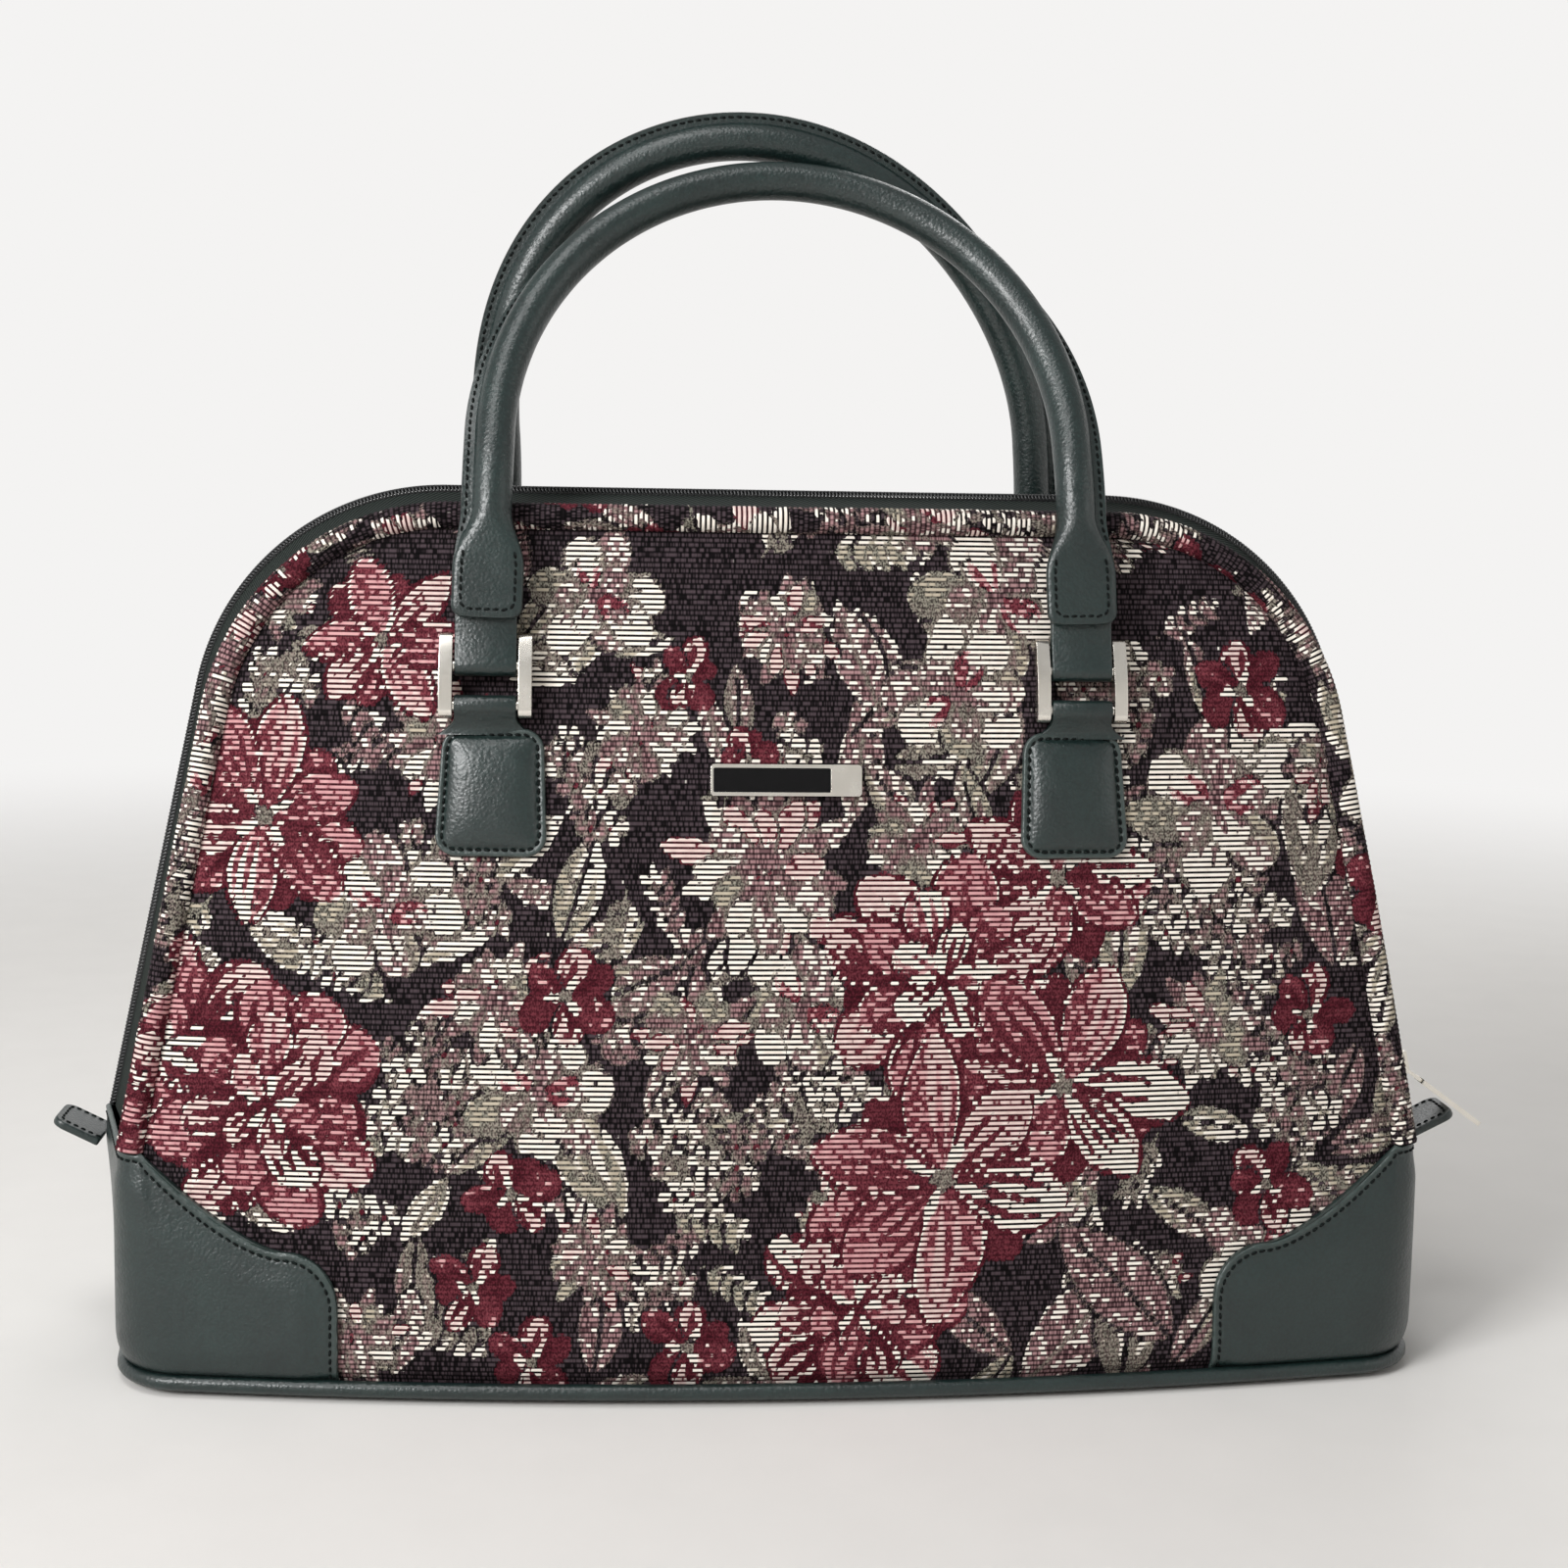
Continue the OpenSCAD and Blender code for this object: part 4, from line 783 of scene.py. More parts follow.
def weave_picture():
    """Lays the whole picture on the canvas."""
    # Leaves, twigs and clusters over the whole ground.
    spots = [(x + 14 * (j % 2) + rng.normal(0, 5), z + rng.normal(0, 5))
             for j, z in enumerate(np.arange(2, 340, 24)) for x in np.arange(-262, 262, 29)]
    for n in rng.permutation(len(spots)):
        x, z = spots[n]
        turn, pick = rng.uniform(0, 2 * math.pi), rng.random()
        if pick < 0.52:
            long = rng.uniform(28, 46)
            leaf(x - long / 2 * math.cos(turn), z - long / 2 * math.sin(turn), turn, long,
                 long * rng.uniform(0.34, 0.5), int(rng.integers(12)))
        elif pick < 0.60:
            florets(x, z, rng.uniform(8, 13), [MAUVE, GREY, STONE][n % 3])
        elif pick < 0.82:
            sprig(x, z, turn, rng.uniform(24, 34), [GREY, STONE, MAUVE][n % 3])
        elif pick < 0.86:
            aster(x, z, rng.uniform(11, 15), turn, 10)
    # Broad leaves and clusters, then the flowers, smaller ones first.
    for n, (x, z, turn, long) in enumerate([
            (92, 2, 0.9, 66), (132, 0, 1.6, 60), (150, 20, 2.3, 64), (-60, 70, 2.1, 56), (-37, 165, 3.6, 48),
            (10, 172, 2.4, 44), (36, 258, 2.0, 44), (-84, 172, 1.2, 42), (216, 160, 1.7, 56),
            (204, 186, 1.4, 60), (-10, 150, 1.2, 50), (128, 150, 1.5, 50)]):
        leaf(x, z, turn, long, long * 0.44, n)
    for n, (x, z, r) in enumerate([
            (176, 176, 24), (-122, 196, 24), (-128, 118, 26), (12, 112, 22), (128, 262, 20), (-70, 232, 20),
            (196, 118, 20), (-32, 92, 22), (150, 190, 20)]):
        florets(x, z, r, [MAUVE, GREY][n % 2])
    for flower, x, z, r, turn in [
            (bloom, 81, 300, 31, 0.3), (bloom, 167, 224, 33, 1.0), (bloom, 66, 264, 28, 2.0),
            (bloom, -150, 182, 27, 0.7), (bloom, 186, 52, 28, 1.6), (bloom, -72, 300, 24, 0.2),
            (bloom, -92, 116, 28, 0.9), (bloom, 6, 148, 26, 0.4),
            (aster, -54, 249, 22, 0.1), (aster, 0, 288, 22, 0.6), (aster, -128, 244, 23, 0.4),
            (aster, 50, 210, 22, 0.9), (aster, 163, 138, 24, 0.2), (aster, -34, 138, 24, 0.5),
            (aster, -8, 199, 36, 0.3), (aster, -108, 150, 24, 0.7), (aster, 214, 236, 20, 0.1),
            (aster, -160, 24, 20, 0.3), (aster, -70, 56, 20, 0.8), (aster, -196, 300, 20, 0.2),
            (posy, -82, 152, 20, 0.5), (posy, -102, 79, 18, 1.2), (posy, -116, 44, 17, 0.2),
            (posy, 187, 78, 18, 0.9), (posy, 204, 142, 18, 0.1), (posy, 178, 266, 20, 0.6),
            (posy, -37, 270, 14, 0.3), (posy, -14, 240, 13, 1.1), (posy, -36, 22, 20, 0.4),
            (posy, -94, 16, 17, 0.4), (posy, 12, 18, 16, 1.0), (posy, 228, 204, 15, 0.2),
            (lily, -152, 282, 30, 0.8), (lily, -195, 216, 40, 0.25), (peony, -226, 130, 40, 0.9),
            (peony, -192, 110, 42, 0.2), (lily, 104, 196, 38, 0.45), (peony, 60, 158, 44, 0.5),
            (lily, 106, 118, 44, 0.1), (peony, 28, 36, 38, 0.15), (lily, 60, 84, 50, 0.8)]:
        flower(x, z, r, turn)


weave_picture()


def woven(x, z):
    """Tones of the cloth at points of the canvas."""
    fx = np.clip((x - CANVAS_X[0]) / CANVAS_STEP, 0, len(CANVAS_X) - 1.001)
    fz = np.clip((z - CANVAS_Z[0]) / CANVAS_STEP, 0, len(CANVAS_Z) - 1.001)
    i, j = fz.astype(int), fx.astype(int)
    a, b = (fz - i)[..., None], (fx - j)[..., None]
    return ((canvas[i, j] * (1 - b) + canvas[i, j + 1] * b) * (1 - a)
            + (canvas[i + 1, j] * (1 - b) + canvas[i + 1, j + 1] * b) * a)


def lay(made, yarn):
    """Gives a cloth piece the run of its yarns."""
    run_of = made.data.attributes.new("yarn", "FLOAT_VECTOR", "POINT")
    run_of.data.foreach_set("vector", np.asarray(yarn, np.float32).ravel())


def dye(made, tones):
    """Gives a cloth piece its tones."""
    colours = made.data.color_attributes.new("weave", "FLOAT_COLOR", "POINT")
    colours.data.foreach_set("color", np.asarray(tones, np.float32).ravel())


def wear_and_highlight(made, share):
    """How far each point of a leather piece is worn paler at its cut edge, or lit by a painted highlight
    over its sewn border, 0 to 1.
    """
    wear_and_highlight_share = made.data.attributes.new("wear_and_highlight", "FLOAT", "POINT")
    wear_and_highlight_share.data.foreach_set("value", np.asarray(share, np.float32).ravel())


def edge_wear_and_highlight(d, border, share, fade):
    """Paleness at a distance in from a cut edge: worn most at the edge, and a painted highlight over the
    sewn border.
    """
    return 0.4 * np.exp(-(d / 0.9) ** 2) + share * (1 - smooth((d - border) / fade))


def round_edge(d, r):
    """Height of a rounded edge, 0 to 1, at a distance in from it."""
    return np.sqrt(1 - (1 - np.clip(d / r, 0, 1)) ** 2)


def sewn_groove(d, seam):
    """Dent that a row of stitches pulls into leather, at a distance in from the edge."""
    return -GROOVE_D * np.exp(-((d - seam) / GROOVE_W) ** 2)


def foot_tuck(z):
    """How far the walls turn in at their foot, down to the welt."""
    return -FOOT_TUCK * (1 - round_edge(np.asarray(z, float) - WALL_FOOT, FOOT_TUCK_H))


# Tapestry panels, ribbed, rolled in at their edges and softly uneven
PANEL_DOME = grown(FRONT_DOME, -PIPING_D / 2)


def panel_half(z):
    """Half width of a tapestry panel at a height."""
    mx, mz = dome_middle(PANEL_DOME)
    r = PANEL_DOME[2]
    turn_z = mz + r * math.sin(PANEL_DOME[1])
    foot = float(corner_x(WALL_FOOT)) - PANEL_T
    low = foot + (PANEL_DOME[0] - foot) * (z - WALL_FOOT) / (ZIP_FOOT - WALL_FOOT)
    arc = mx + np.sqrt(np.clip(r * r - (z - mz) ** 2, 0, None))
    return np.where(z < ZIP_FOOT, low, np.where(z < turn_z, dome_x(PANEL_DOME, z), arc))


def panel(name, node, back):
    z = np.arange(WALL_FOOT - RIB_PITCH * 1.5, PANEL_DOME[3], RIB_PITCH)
    z = np.append(z[:-1], PANEL_DOME[3])
    u = np.linspace(-1, 1, PANEL_COLUMNS)
    x = panel_half(z)[:, None] * u[None]
    zz = np.broadcast_to(z[:, None], x.shape)
    mx, mz = dome_middle(PANEL_DOME)
    corner = PANEL_DOME[2] - np.hypot(np.maximum(np.abs(x) - mx, 0), np.maximum(zz - mz, 0))
    side = (panel_half(z)[:, None] - np.abs(x)) * math.cos(SIDE_LEAN)
    in_by = np.where((zz > mz) & (np.abs(x) > mx), corner, np.minimum(side, PANEL_DOME[3] - zz))
    roll = -EDGE_ROLL * np.clip(1 - in_by / EDGE_ROLL_W, 0, 1) ** 2 + foot_tuck(zz)
    waves = (np.sin(x / 31 + zz / 60 + back) * np.sin(zz / 47 - x / 90 + 1.3 * back) * 0.5
             + np.sin(x / 67 + 2.1) * np.sin(zz / 83 + 0.7) * 0.5)
    uneven = -(0.5 + 0.5 * waves) * smooth(in_by / 20)
    p = on_ball(x, zz, roll + uneven)
    part = (p.reshape(-1, 3), quads(len(z), PANEL_COLUMNS))
    made = piece(name, flipped(part, False, back), TAPESTRY, node=node, crease=180,
                 outward=False)
    tones = woven(-x + 12 if back else x, zz + (4 if back else 0))
    yarn = np.stack([x, (zz - WALL_FOOT) / RIB_PITCH, np.zeros_like(x)], -1)
    dye(made, tones)
    lay(made, yarn)


# Fat piping covered in a strip of the same cloth, its ribs running across it
def fat_piping(name, node, back):
    t, s = dome_steps(grown(FRONT_DOME, -PIPING_D / 2), RIB_PITCH / 2)
    xz, _ = dome_at(grown(FRONT_DOME, -PIPING_D / 2), t)
    path = np.stack([xz[:, 0], skin_y(xz[:, 0], xz[:, 1], -PANEL_T / 2), xz[:, 1]], -1)
    sides = 16
    lumps = 0.09 * np.sin(s / 9) * np.sin(s / 23)
    r = PIPING_D / 2 - 0.05 + np.where(np.arange(len(s)) % 2, 0.1, -0.16) + lumps
    rings = tube(path, r, sides, (0, 1, 0))
    made = piece(name, flipped(swept(rings), False, back), TAPESTRY, node=node, crease=180)
    round_by = np.broadcast_to(np.arange(sides) * math.pi * PIPING_D / sides, (len(s), sides))
    ss = np.broadcast_to(s[:, None], round_by.shape)
    fold = np.abs((ss + 60 + 200 * back) % 600 - 300) + 12
    tones = woven(np.abs(round_by - 16) + (60 if back else -92) + ss * 0.12, fold)
    yarn = np.stack([round_by, ss / RIB_PITCH, np.zeros_like(ss)], -1)
    dye(made, tones)
    lay(made, yarn)


panel("front_tapestry", "front_panel", False)
panel("back_tapestry", "back_panel", True)
fat_piping("front_fat_piping", "front_piping", False)
fat_piping("back_fat_piping", "back_piping", True)


# Zip: twill tapes, sagging a little, and the interlocked coils
def zip_tape(name, node, back):
    t, s = dome_steps(RIDGE_DOME, 3.0)
    a_xz, _ = dome_at(grown(FRONT_DOME, -PIPING_D / 2), t)
    a = np.stack([a_xz[:, 0], skin_y(a_xz[:, 0], a_xz[:, 1], -PANEL_T / 2), a_xz[:, 1]], -1)
    b_xz, _ = dome_at(grown(RIDGE_DOME, -CHAIN_T / 2), t)
    b = np.stack([b_xz[:, 0], np.full(len(t), -CHAIN_W / 2 + TAPE_LAP), b_xz[:, 1]], -1)
    d = unit(b - a)
    n = unit(np.cross(d, along(a)))
    n = n * np.sign(np.sum(n * (b - np.array([0, 0, 150])), 1))[:, None]
    start = a + d * (PIPING_D / 2 - TAPE_LAP)
    across = np.linspace(0, 1, 9)
    sag = 0.5 - TAPE_DIP * across - TAPE_SAG * np.sin(across * math.pi) ** 1.3
    top = start[:, None] + (b - start)[:, None] * across[:, None] + n[:, None] * sag[:, None]
    under = top[:, ::-1] - n[:, None] * TAPE_T
    rings = np.concatenate([top, under], 1)
    made = piece(name, flipped(swept(rings), False, back), TWILL, node=node, crease=50)
    wide = np.linalg.norm(b - start, axis=1)[:, None] * across[None]
    wide = np.concatenate([wide, wide[:, ::-1]], 1)
    yarn = np.stack([wide, np.broadcast_to(s[:, None], wide.shape), np.zeros_like(wide)], -1)
    lay(made, yarn)


def zip_coil():
    t, s = dome_steps(RIDGE_DOME, TOOTH_STEP)
    keep = s > SLIDER_L + 1
    t, s = t[keep], s[keep]
    xz, out_xz = dome_at(grown(RIDGE_DOME, -CHAIN_T / 2), t)
    p = np.stack([xz[:, 0], np.zeros(len(t)), xz[:, 1]], -1)
    out = np.stack([out_xz[:, 0], np.zeros(len(t)), out_xz[:, 1]], -1)
    way = along(p)
    y = np.array([0, 1.0, 0])
    parts = []
    ring = np.arange(6) * math.pi / 3
    for side in (-1, 1):
        pick = slice(0 if side < 0 else 1, None, 2)
        c, w, o = p[pick], way[pick], out[pick]
        # A tooth: a nylon wire that comes over from the edge, slanting, to a bulb past the middle.
        rows = [(3.0, -0.7, -0.9, 0.42), (2.9, 0.3, -0.3, 0.52), (1.7, 1.05, -0.05, 0.55),
                (0.3, 1.15, 0.3, 0.58), (-0.55, 0.85, 0.42, 0.62), (-0.95, 0.1, 0.45, 0.4)]
        parts.append(many(np.stack([
            (c + y * (side * far) + o * high + w * fwd)[:, None]
            + r * (w[:, None] * np.cos(ring)[:, None] + o[:, None] * np.sin(ring)[:, None])
            for far, high, fwd, r in rows], 1)))
    # The tape under the coils.
    bed_y = np.array([-2.9, -1, 1, 2.9])
    bed = np.concatenate([
        p[:, None] + y * bed_y[:, None] - out[:, None] * 0.55,
        p[:, None] + y * bed_y[::-1, None] - out[:, None] * 1.15], 1)
    parts.append(swept(bed[::4]))
    piece("zip_coils", joined(parts), NYLON, node="zip_chain", crease=60)


zip_tape("front_zip_tape", "zip_tape_front", False)
zip_tape("back_zip_tape", "zip_tape_back", True)
zip_coil()
softened("zip_slider", NICKEL, "slider", 0.3)
softened("zip_pull", NICKEL, "pull", 0.35)
softened("pull_inlay", GREY_INLAY, "pull", 0.15)


# Leather corner guards
def guard_rim(x, x1):
    """Height of the guard's raw edge on the front, from its inner side to the corner at x1."""
    near = GUARD_EDGE + np.sqrt(np.clip(GUARD_ROUND**2 - (GUARD_IN + GUARD_ROUND - x) ** 2, 0, None))
    far = np.clip((x - GUARD_IN - GUARD_ROUND) / (x1 - GUARD_IN - GUARD_ROUND), 0, 1)
    return np.where(x < GUARD_IN + GUARD_ROUND, near, GUARD_KNEE + (GUARD_TOP - GUARD_KNEE) * far**1.54)


def guard_edge_line():
    """The guard's raw edge on the front, in X and Z, from the foot to the corner."""
    x1 = float(corner_x(GUARD_TOP))
    a = np.radians(np.linspace(0, 90, 14))
    x = np.concatenate([np.full(10, GUARD_IN), GUARD_IN + GUARD_ROUND * (1 - np.cos(a)),
                        np.linspace(GUARD_IN + GUARD_ROUND, x1, 50)[1:]])
    z = np.concatenate([np.linspace(WALL_FOOT - 6, GUARD_EDGE, 10, endpoint=False),
                        guard_rim(x[10:], x1)])
    return np.stack([x, z], -1)


EDGE_LINE, _ = evenly(guard_edge_line(), 0.8)


def guard_out(x, z, s):
    """Height of the guard's face off the wall: rounded raw edge, sewn groove, soft swell."""
    near = np.sqrt(((np.stack([x, z], -1)[..., None, :] - EDGE_LINE) ** 2).sum(-1)).min(-1)
    d = np.where(s < 1, near, GUARD_TOP - z)
    edge = 0.35 + (SEAM_GAP + GUARD_T - 0.35) * round_edge(d, 1)
    swell = 1.3 * smooth((d - 3.2) / 12)
    return edge + sewn_groove(d, GUARD_STITCH_IN) + swell + foot_tuck(z), d


def corner_guard(left, back):
    x1 = float(corner_x(GUARD_TOP))
    knee = GUARD_ROUND / (x1 - GUARD_IN)
    s = np.concatenate([knee * (1 - np.cos(np.radians(np.linspace(0, 90, 22)))),
                        np.linspace(knee, 1, 34)[1:], np.linspace(1, 2, 20)[1:],
                        np.linspace(2, 3, 26)[1:]])
    top = np.where(s < 1, guard_rim(GUARD_IN + (x1 - GUARD_IN) * s, x1), GUARD_TOP)
    v = 0.5 - 0.5 * np.cos(math.pi * np.linspace(0, 1, 64))
    z = WALL_FOOT + (top[None] - WALL_FOOT) * v[:, None]
    ss = np.broadcast_to(s[None], z.shape)
    x = GUARD_IN + (corner_x(z) - GUARD_IN) * np.clip(ss, 0, 1)
    out, from_edge = guard_out(x, z, ss)
    p = wall_pt(z, ss, out, GUARD_IN)
    # The cut edge stands on the cloth; the foot goes on down behind the welt.
    skirt_top = wall_pt(z[-1:], ss[-1:], np.full((1, len(s)), 0.05), GUARD_IN)
    p = np.concatenate([p[:1] - np.array([0, 0, 3.0]), p, skirt_top])
    edge_z = np.concatenate([[WALL_FOOT - 3], z[:, 0], z[-1:, 0]])
    first = wall_pt(edge_z, np.zeros(len(p)), foot_tuck(edge_z) + 0.05, GUARD_IN)
    p = np.concatenate([first[:, None], p], 1)
    # Worn cut edge, and a painted highlight over the sewn border.
    wear_and_highlight_share = np.zeros(p.shape[:2])
    wear_and_highlight_share[1:-1, 1:] = edge_wear_and_highlight(from_edge, 2, 0.2, 2)
    part = (p.reshape(-1, 3), quads(p.shape[0], p.shape[1]))
    name = "corner_" + place_of(left, back)
    guard = piece(name + "_guard", flipped(part, left, back), LEATHER, node=name, crease=70,
                  outward=False)
    wear_and_highlight(guard, wear_and_highlight_share)
    # One row of dark stitches in from the raw edge, on round the corner to the side.
    line = EDGE_LINE[EDGE_LINE[:, 1] > WALL_FOOT - 1]
    t2 = unit(np.gradient(line, axis=0))
    inner = line + np.stack([t2[:, 1], -t2[:, 0]], -1) * GUARD_STITCH_IN
    inner = inner[(inner[:, 1] > WALL_FOOT + 1) & (inner[:, 0] < corner_x(inner[:, 1]) - 0.5)]
    sz = np.concatenate([
        np.stack([(inner[:, 0] - GUARD_IN) / (corner_x(inner[:, 1]) - GUARD_IN), inner[:, 1]], -1),
        np.stack([np.linspace(1.02, 2.97, 60), np.full(60, GUARD_TOP - GUARD_STITCH_IN)], -1)])
    sunk = foot_tuck(sz[:, 1])
    low = wall_pt(sz[:, 1], sz[:, 0], 1.75 + sunk, GUARD_IN)
    high = wall_pt(sz[:, 1], sz[:, 0], 2.75 + sunk, GUARD_IN)
    piece(name + "_stitches", flipped(stitches(low, high - low), left, back), THREAD)


for back in (False, True):
    for left in (False, True):
        corner_guard(left, back)


# Base: leather bottom, and its thin welt bent round the plan
def base_line(out, n=60):
    """Plan of the bag's foot, all round."""
    q = wall_pt(WALL_FOOT, np.concatenate([np.linspace(0, 1, n, endpoint=False),
                                           np.linspace(1, 2, 24, endpoint=False),
                                           np.linspace(2, 2.92, 22)]), out, 0)[:, :2]
    quarter = np.concatenate([q, [[q[-1, 0] + 0.25, 0.0]]])
    half = np.concatenate([quarter, quarter[-2::-1] * [1, -1]])
    return np.concatenate([half, half[-2:0:-1] * [-1, 1]])


welt = np.concatenate([base_line(0), np.full((len(base_line(0)), 1), BASE_PIPING_Z)], 1)
piece("base_welt", swept(tube(welt, BASE_PIPING_D / 2, 12, (0, 0, 1), True), True), LEATHER,
      node="base_piping", crease=60)
softened("base_panel", LEATHER, "bag", 1.0)
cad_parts["base_board"].data.materials.clear()
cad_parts["base_board"].data.materials.append(BOARD)


# Leather tabs at the zip's ends, sewn round their edge
def zip_end(hand):
    node = f"zip_end_{hand}"
    softened(node, LEATHER, "bag", 0.9, 45)
    p = np.array([v.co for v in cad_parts[node].data.vertices]) / MM
    sign = 1 if hand == "right" else -1
    c, s = math.cos(ZIP_END_TILT), math.sin(ZIP_END_TILT)
    long, up = np.array([sign * c, 0, s]), np.array([-sign * s, 0, c])
    far, half = (p @ long).max() - END_STITCH_IN, p[:, 1].max() - END_STITCH_IN
    near, low, high = (p @ long).min() + 1.5, (p @ up).min(), (p @ up).max()
    a = np.radians(np.linspace(0, 90, 7))
    u = np.concatenate([[near], far - 3 + 3 * np.sin(a), far - 3 + 3 * np.cos(a), [near]])
    y = np.concatenate([[half], half - 3 + 3 * np.cos(a), -half + 3 - 3 * np.sin(a), [-half]])
    rows = []
    for face, way in ((high - 0.1, 1), (low + 0.1, -1)):
        line = u[:, None] * long + y[:, None] * np.array([0, 1.0, 0]) + face * up
        rows.append(stitches(line, np.broadcast_to(up * way, line.shape)))
    piece(node + "_stitches", joined(rows), THREAD)


zip_end("left")
zip_end("right")


# Padded tabs with their straps, link rings and handle loops
LOWER_BAR_Y = float(skin_y(FITTING_X, LOWER_BAR_Z)) - BAR_STANDOFF
RING_LEAN = math.asin((LOWER_BAR_Z + BAR_GAP / 2 - BALL_Z) / BOW_R)
UPPER_BAR_Y = LOWER_BAR_Y + BAR_GAP * math.sin(RING_LEAN)
UPPER_BAR_Z = LOWER_BAR_Z + BAR_GAP * math.cos(RING_LEAN)
LOOP_R = BAR_D / 2 + BAR_PLAY + STRAP_T / 2


def pad_height(d, x, z):
    """Height of the padded tab above the panel: a flat sewn border, then a full round crown."""
    edge = 0.4 + 1.4 * round_edge(d, 0.7)
    across = np.clip(1 - np.abs(x / (TAB_W / 2 - 3.3)) ** 2.6, 0, 1)
    up = np.clip(1 - np.abs(z / (TAB_H / 2 - 3.3)) ** 3, 0, 1)
    return edge + sewn_groove(d, PAD_STITCH_IN) + (TAB_CROWN - 1.6) * (across * up) ** 0.6


def tapered(outline):
    """A tab's outline, a little wider at its foot."""
    wide = 1 - TAB_TAPER * outline[:, 1] / (TAB_H / 2)
    return outline * np.stack([wide, np.ones(len(outline))], -1)


def padded_tab(left, back):
    top = LOWER_BAR_Z - TAB_DROP
    seat = on_skin(FITTING_X, top - TAB_H / 2)
    insets = np.concatenate([[0, 0.12, 0.35, 0.7, 1.4, 2.0, 2.4, 2.7], np.linspace(3.1, 19.6, 32)])
    rings, wear_and_highlight_share = [], []
    for k, d in enumerate(np.append(0, insets)):
        o = rounded_rect(TAB_W, TAB_H, TAB_ROUND, d)
        h = pad_height(d, o[:, 0], o[:, 1]) if k else 0.05
        o = tapered(o)
        rings.append(moved(seat, np.stack([o[:, 0], -SEAM_GAP - h + 0 * o[:, 0], o[:, 1]], -1)))
        # Worn cut edge, and a painted highlight over the sewn border.
        wear_and_highlight_share.append(np.full(len(o), edge_wear_and_highlight(d, PAD_STITCH_IN, 0.25, 1.5)))
    part = swept(np.array(rings))
    name = "tab_" + place_of(left, back)
    pad = piece(name + "_pad", flipped(part, left, back), LEATHER, node=name, crease=60)
    wear_and_highlight(pad, wear_and_highlight_share)
    o = tapered(rounded_rect(TAB_W, TAB_H, TAB_ROUND, PAD_STITCH_IN))
    o = np.concatenate([o, o[:1]])
    line = moved(seat, np.stack([o[:, 0], np.full(len(o), -SEAM_GAP - 1.55), o[:, 1]], -1))
    lift = np.broadcast_to(np.array(seat)[:3, 1] * -1, line.shape)
    sewn = stitches(line, lift)
    # The strap comes out from under the pad's top, goes round the lower bar and back.
    a = np.radians(np.linspace(200, -20, 26))
    skin_at = float(skin_y(FITTING_X - STRAP_W / 2, top))
    front = np.array([[skin_at - 1.3, top - 2.5], [skin_at - 1.7, top], [skin_at - 2.9, top + 2.0]])
    round_bar = np.stack([LOWER_BAR_Y + LOOP_R * np.cos(a), LOWER_BAR_Z + LOOP_R * np.sin(a)], -1)
    rear = np.array([[skin_at - 1.7, top + 2.8], [skin_at - 1.2, top - 1.0]])
    yz, _ = evenly(np.concatenate([front, round_bar, rear]), 0.8)
    path = np.concatenate([np.full((len(yz), 1), FITTING_X), yz], 1)
    run_by = np.arange(len(yz)) * 0.8
    flare = STRAP_W + STRAP_FLARE * np.clip(1 - run_by / STRAP_FLARE_L, 0, 1) ** 2.2
    piece(name + "_strap", flipped(strap(path, (1, 0, 0), flare, STRAP_T), left, back), LEATHER,
          crease=60)
    piece(name + "_stitches", flipped(sewn, left, back), THREAD)


def handle_loop(left, back, lean):
    """Strap round the upper bar, its tails behind the handle's tongue."""
    tail = TONGUE_FROM + TONGUE_L - 3
    a = np.radians(np.linspace(150, 390, 30))
    y_z = np.concatenate([
        [[-STRAP_T / 2, tail], [-STRAP_T / 2, 14], [-STRAP_T / 2 - 0.2, 10], [-1.7, 6.5]],
        np.stack([LOOP_R * np.cos(a), LOOP_R * np.sin(a)], -1),
        [[1.7, 6.5], [STRAP_T / 2 + 0.2, 10], [STRAP_T / 2, 14], [STRAP_T / 2, tail]]])
    yz, _ = evenly(y_z, 0.9)
    c, s = math.cos(lean), math.sin(lean)
    path = np.stack([np.full(len(yz), FITTING_X), UPPER_BAR_Y + yz[:, 0] * c + yz[:, 1] * s,
                     UPPER_BAR_Z - yz[:, 0] * s + yz[:, 1] * c], -1)
    name = "loop_" + place_of(left, back)
    piece(name + "_strap", flipped(strap(path, (1, 0, 0), STRAP_W, STRAP_T - 0.05), left, back),
          LEATHER, "grip_back" if back else "grip_front", name, 60)


for back in (False, True):
    for left in (False, True):
        padded_tab(left, back)
        handle_loop(left, back, BACK_LEAN if back else LEG_LEAN)
        place = place_of(left, back)
        softened("ring_" + place, NICKEL, "link_" + place, 0.5)


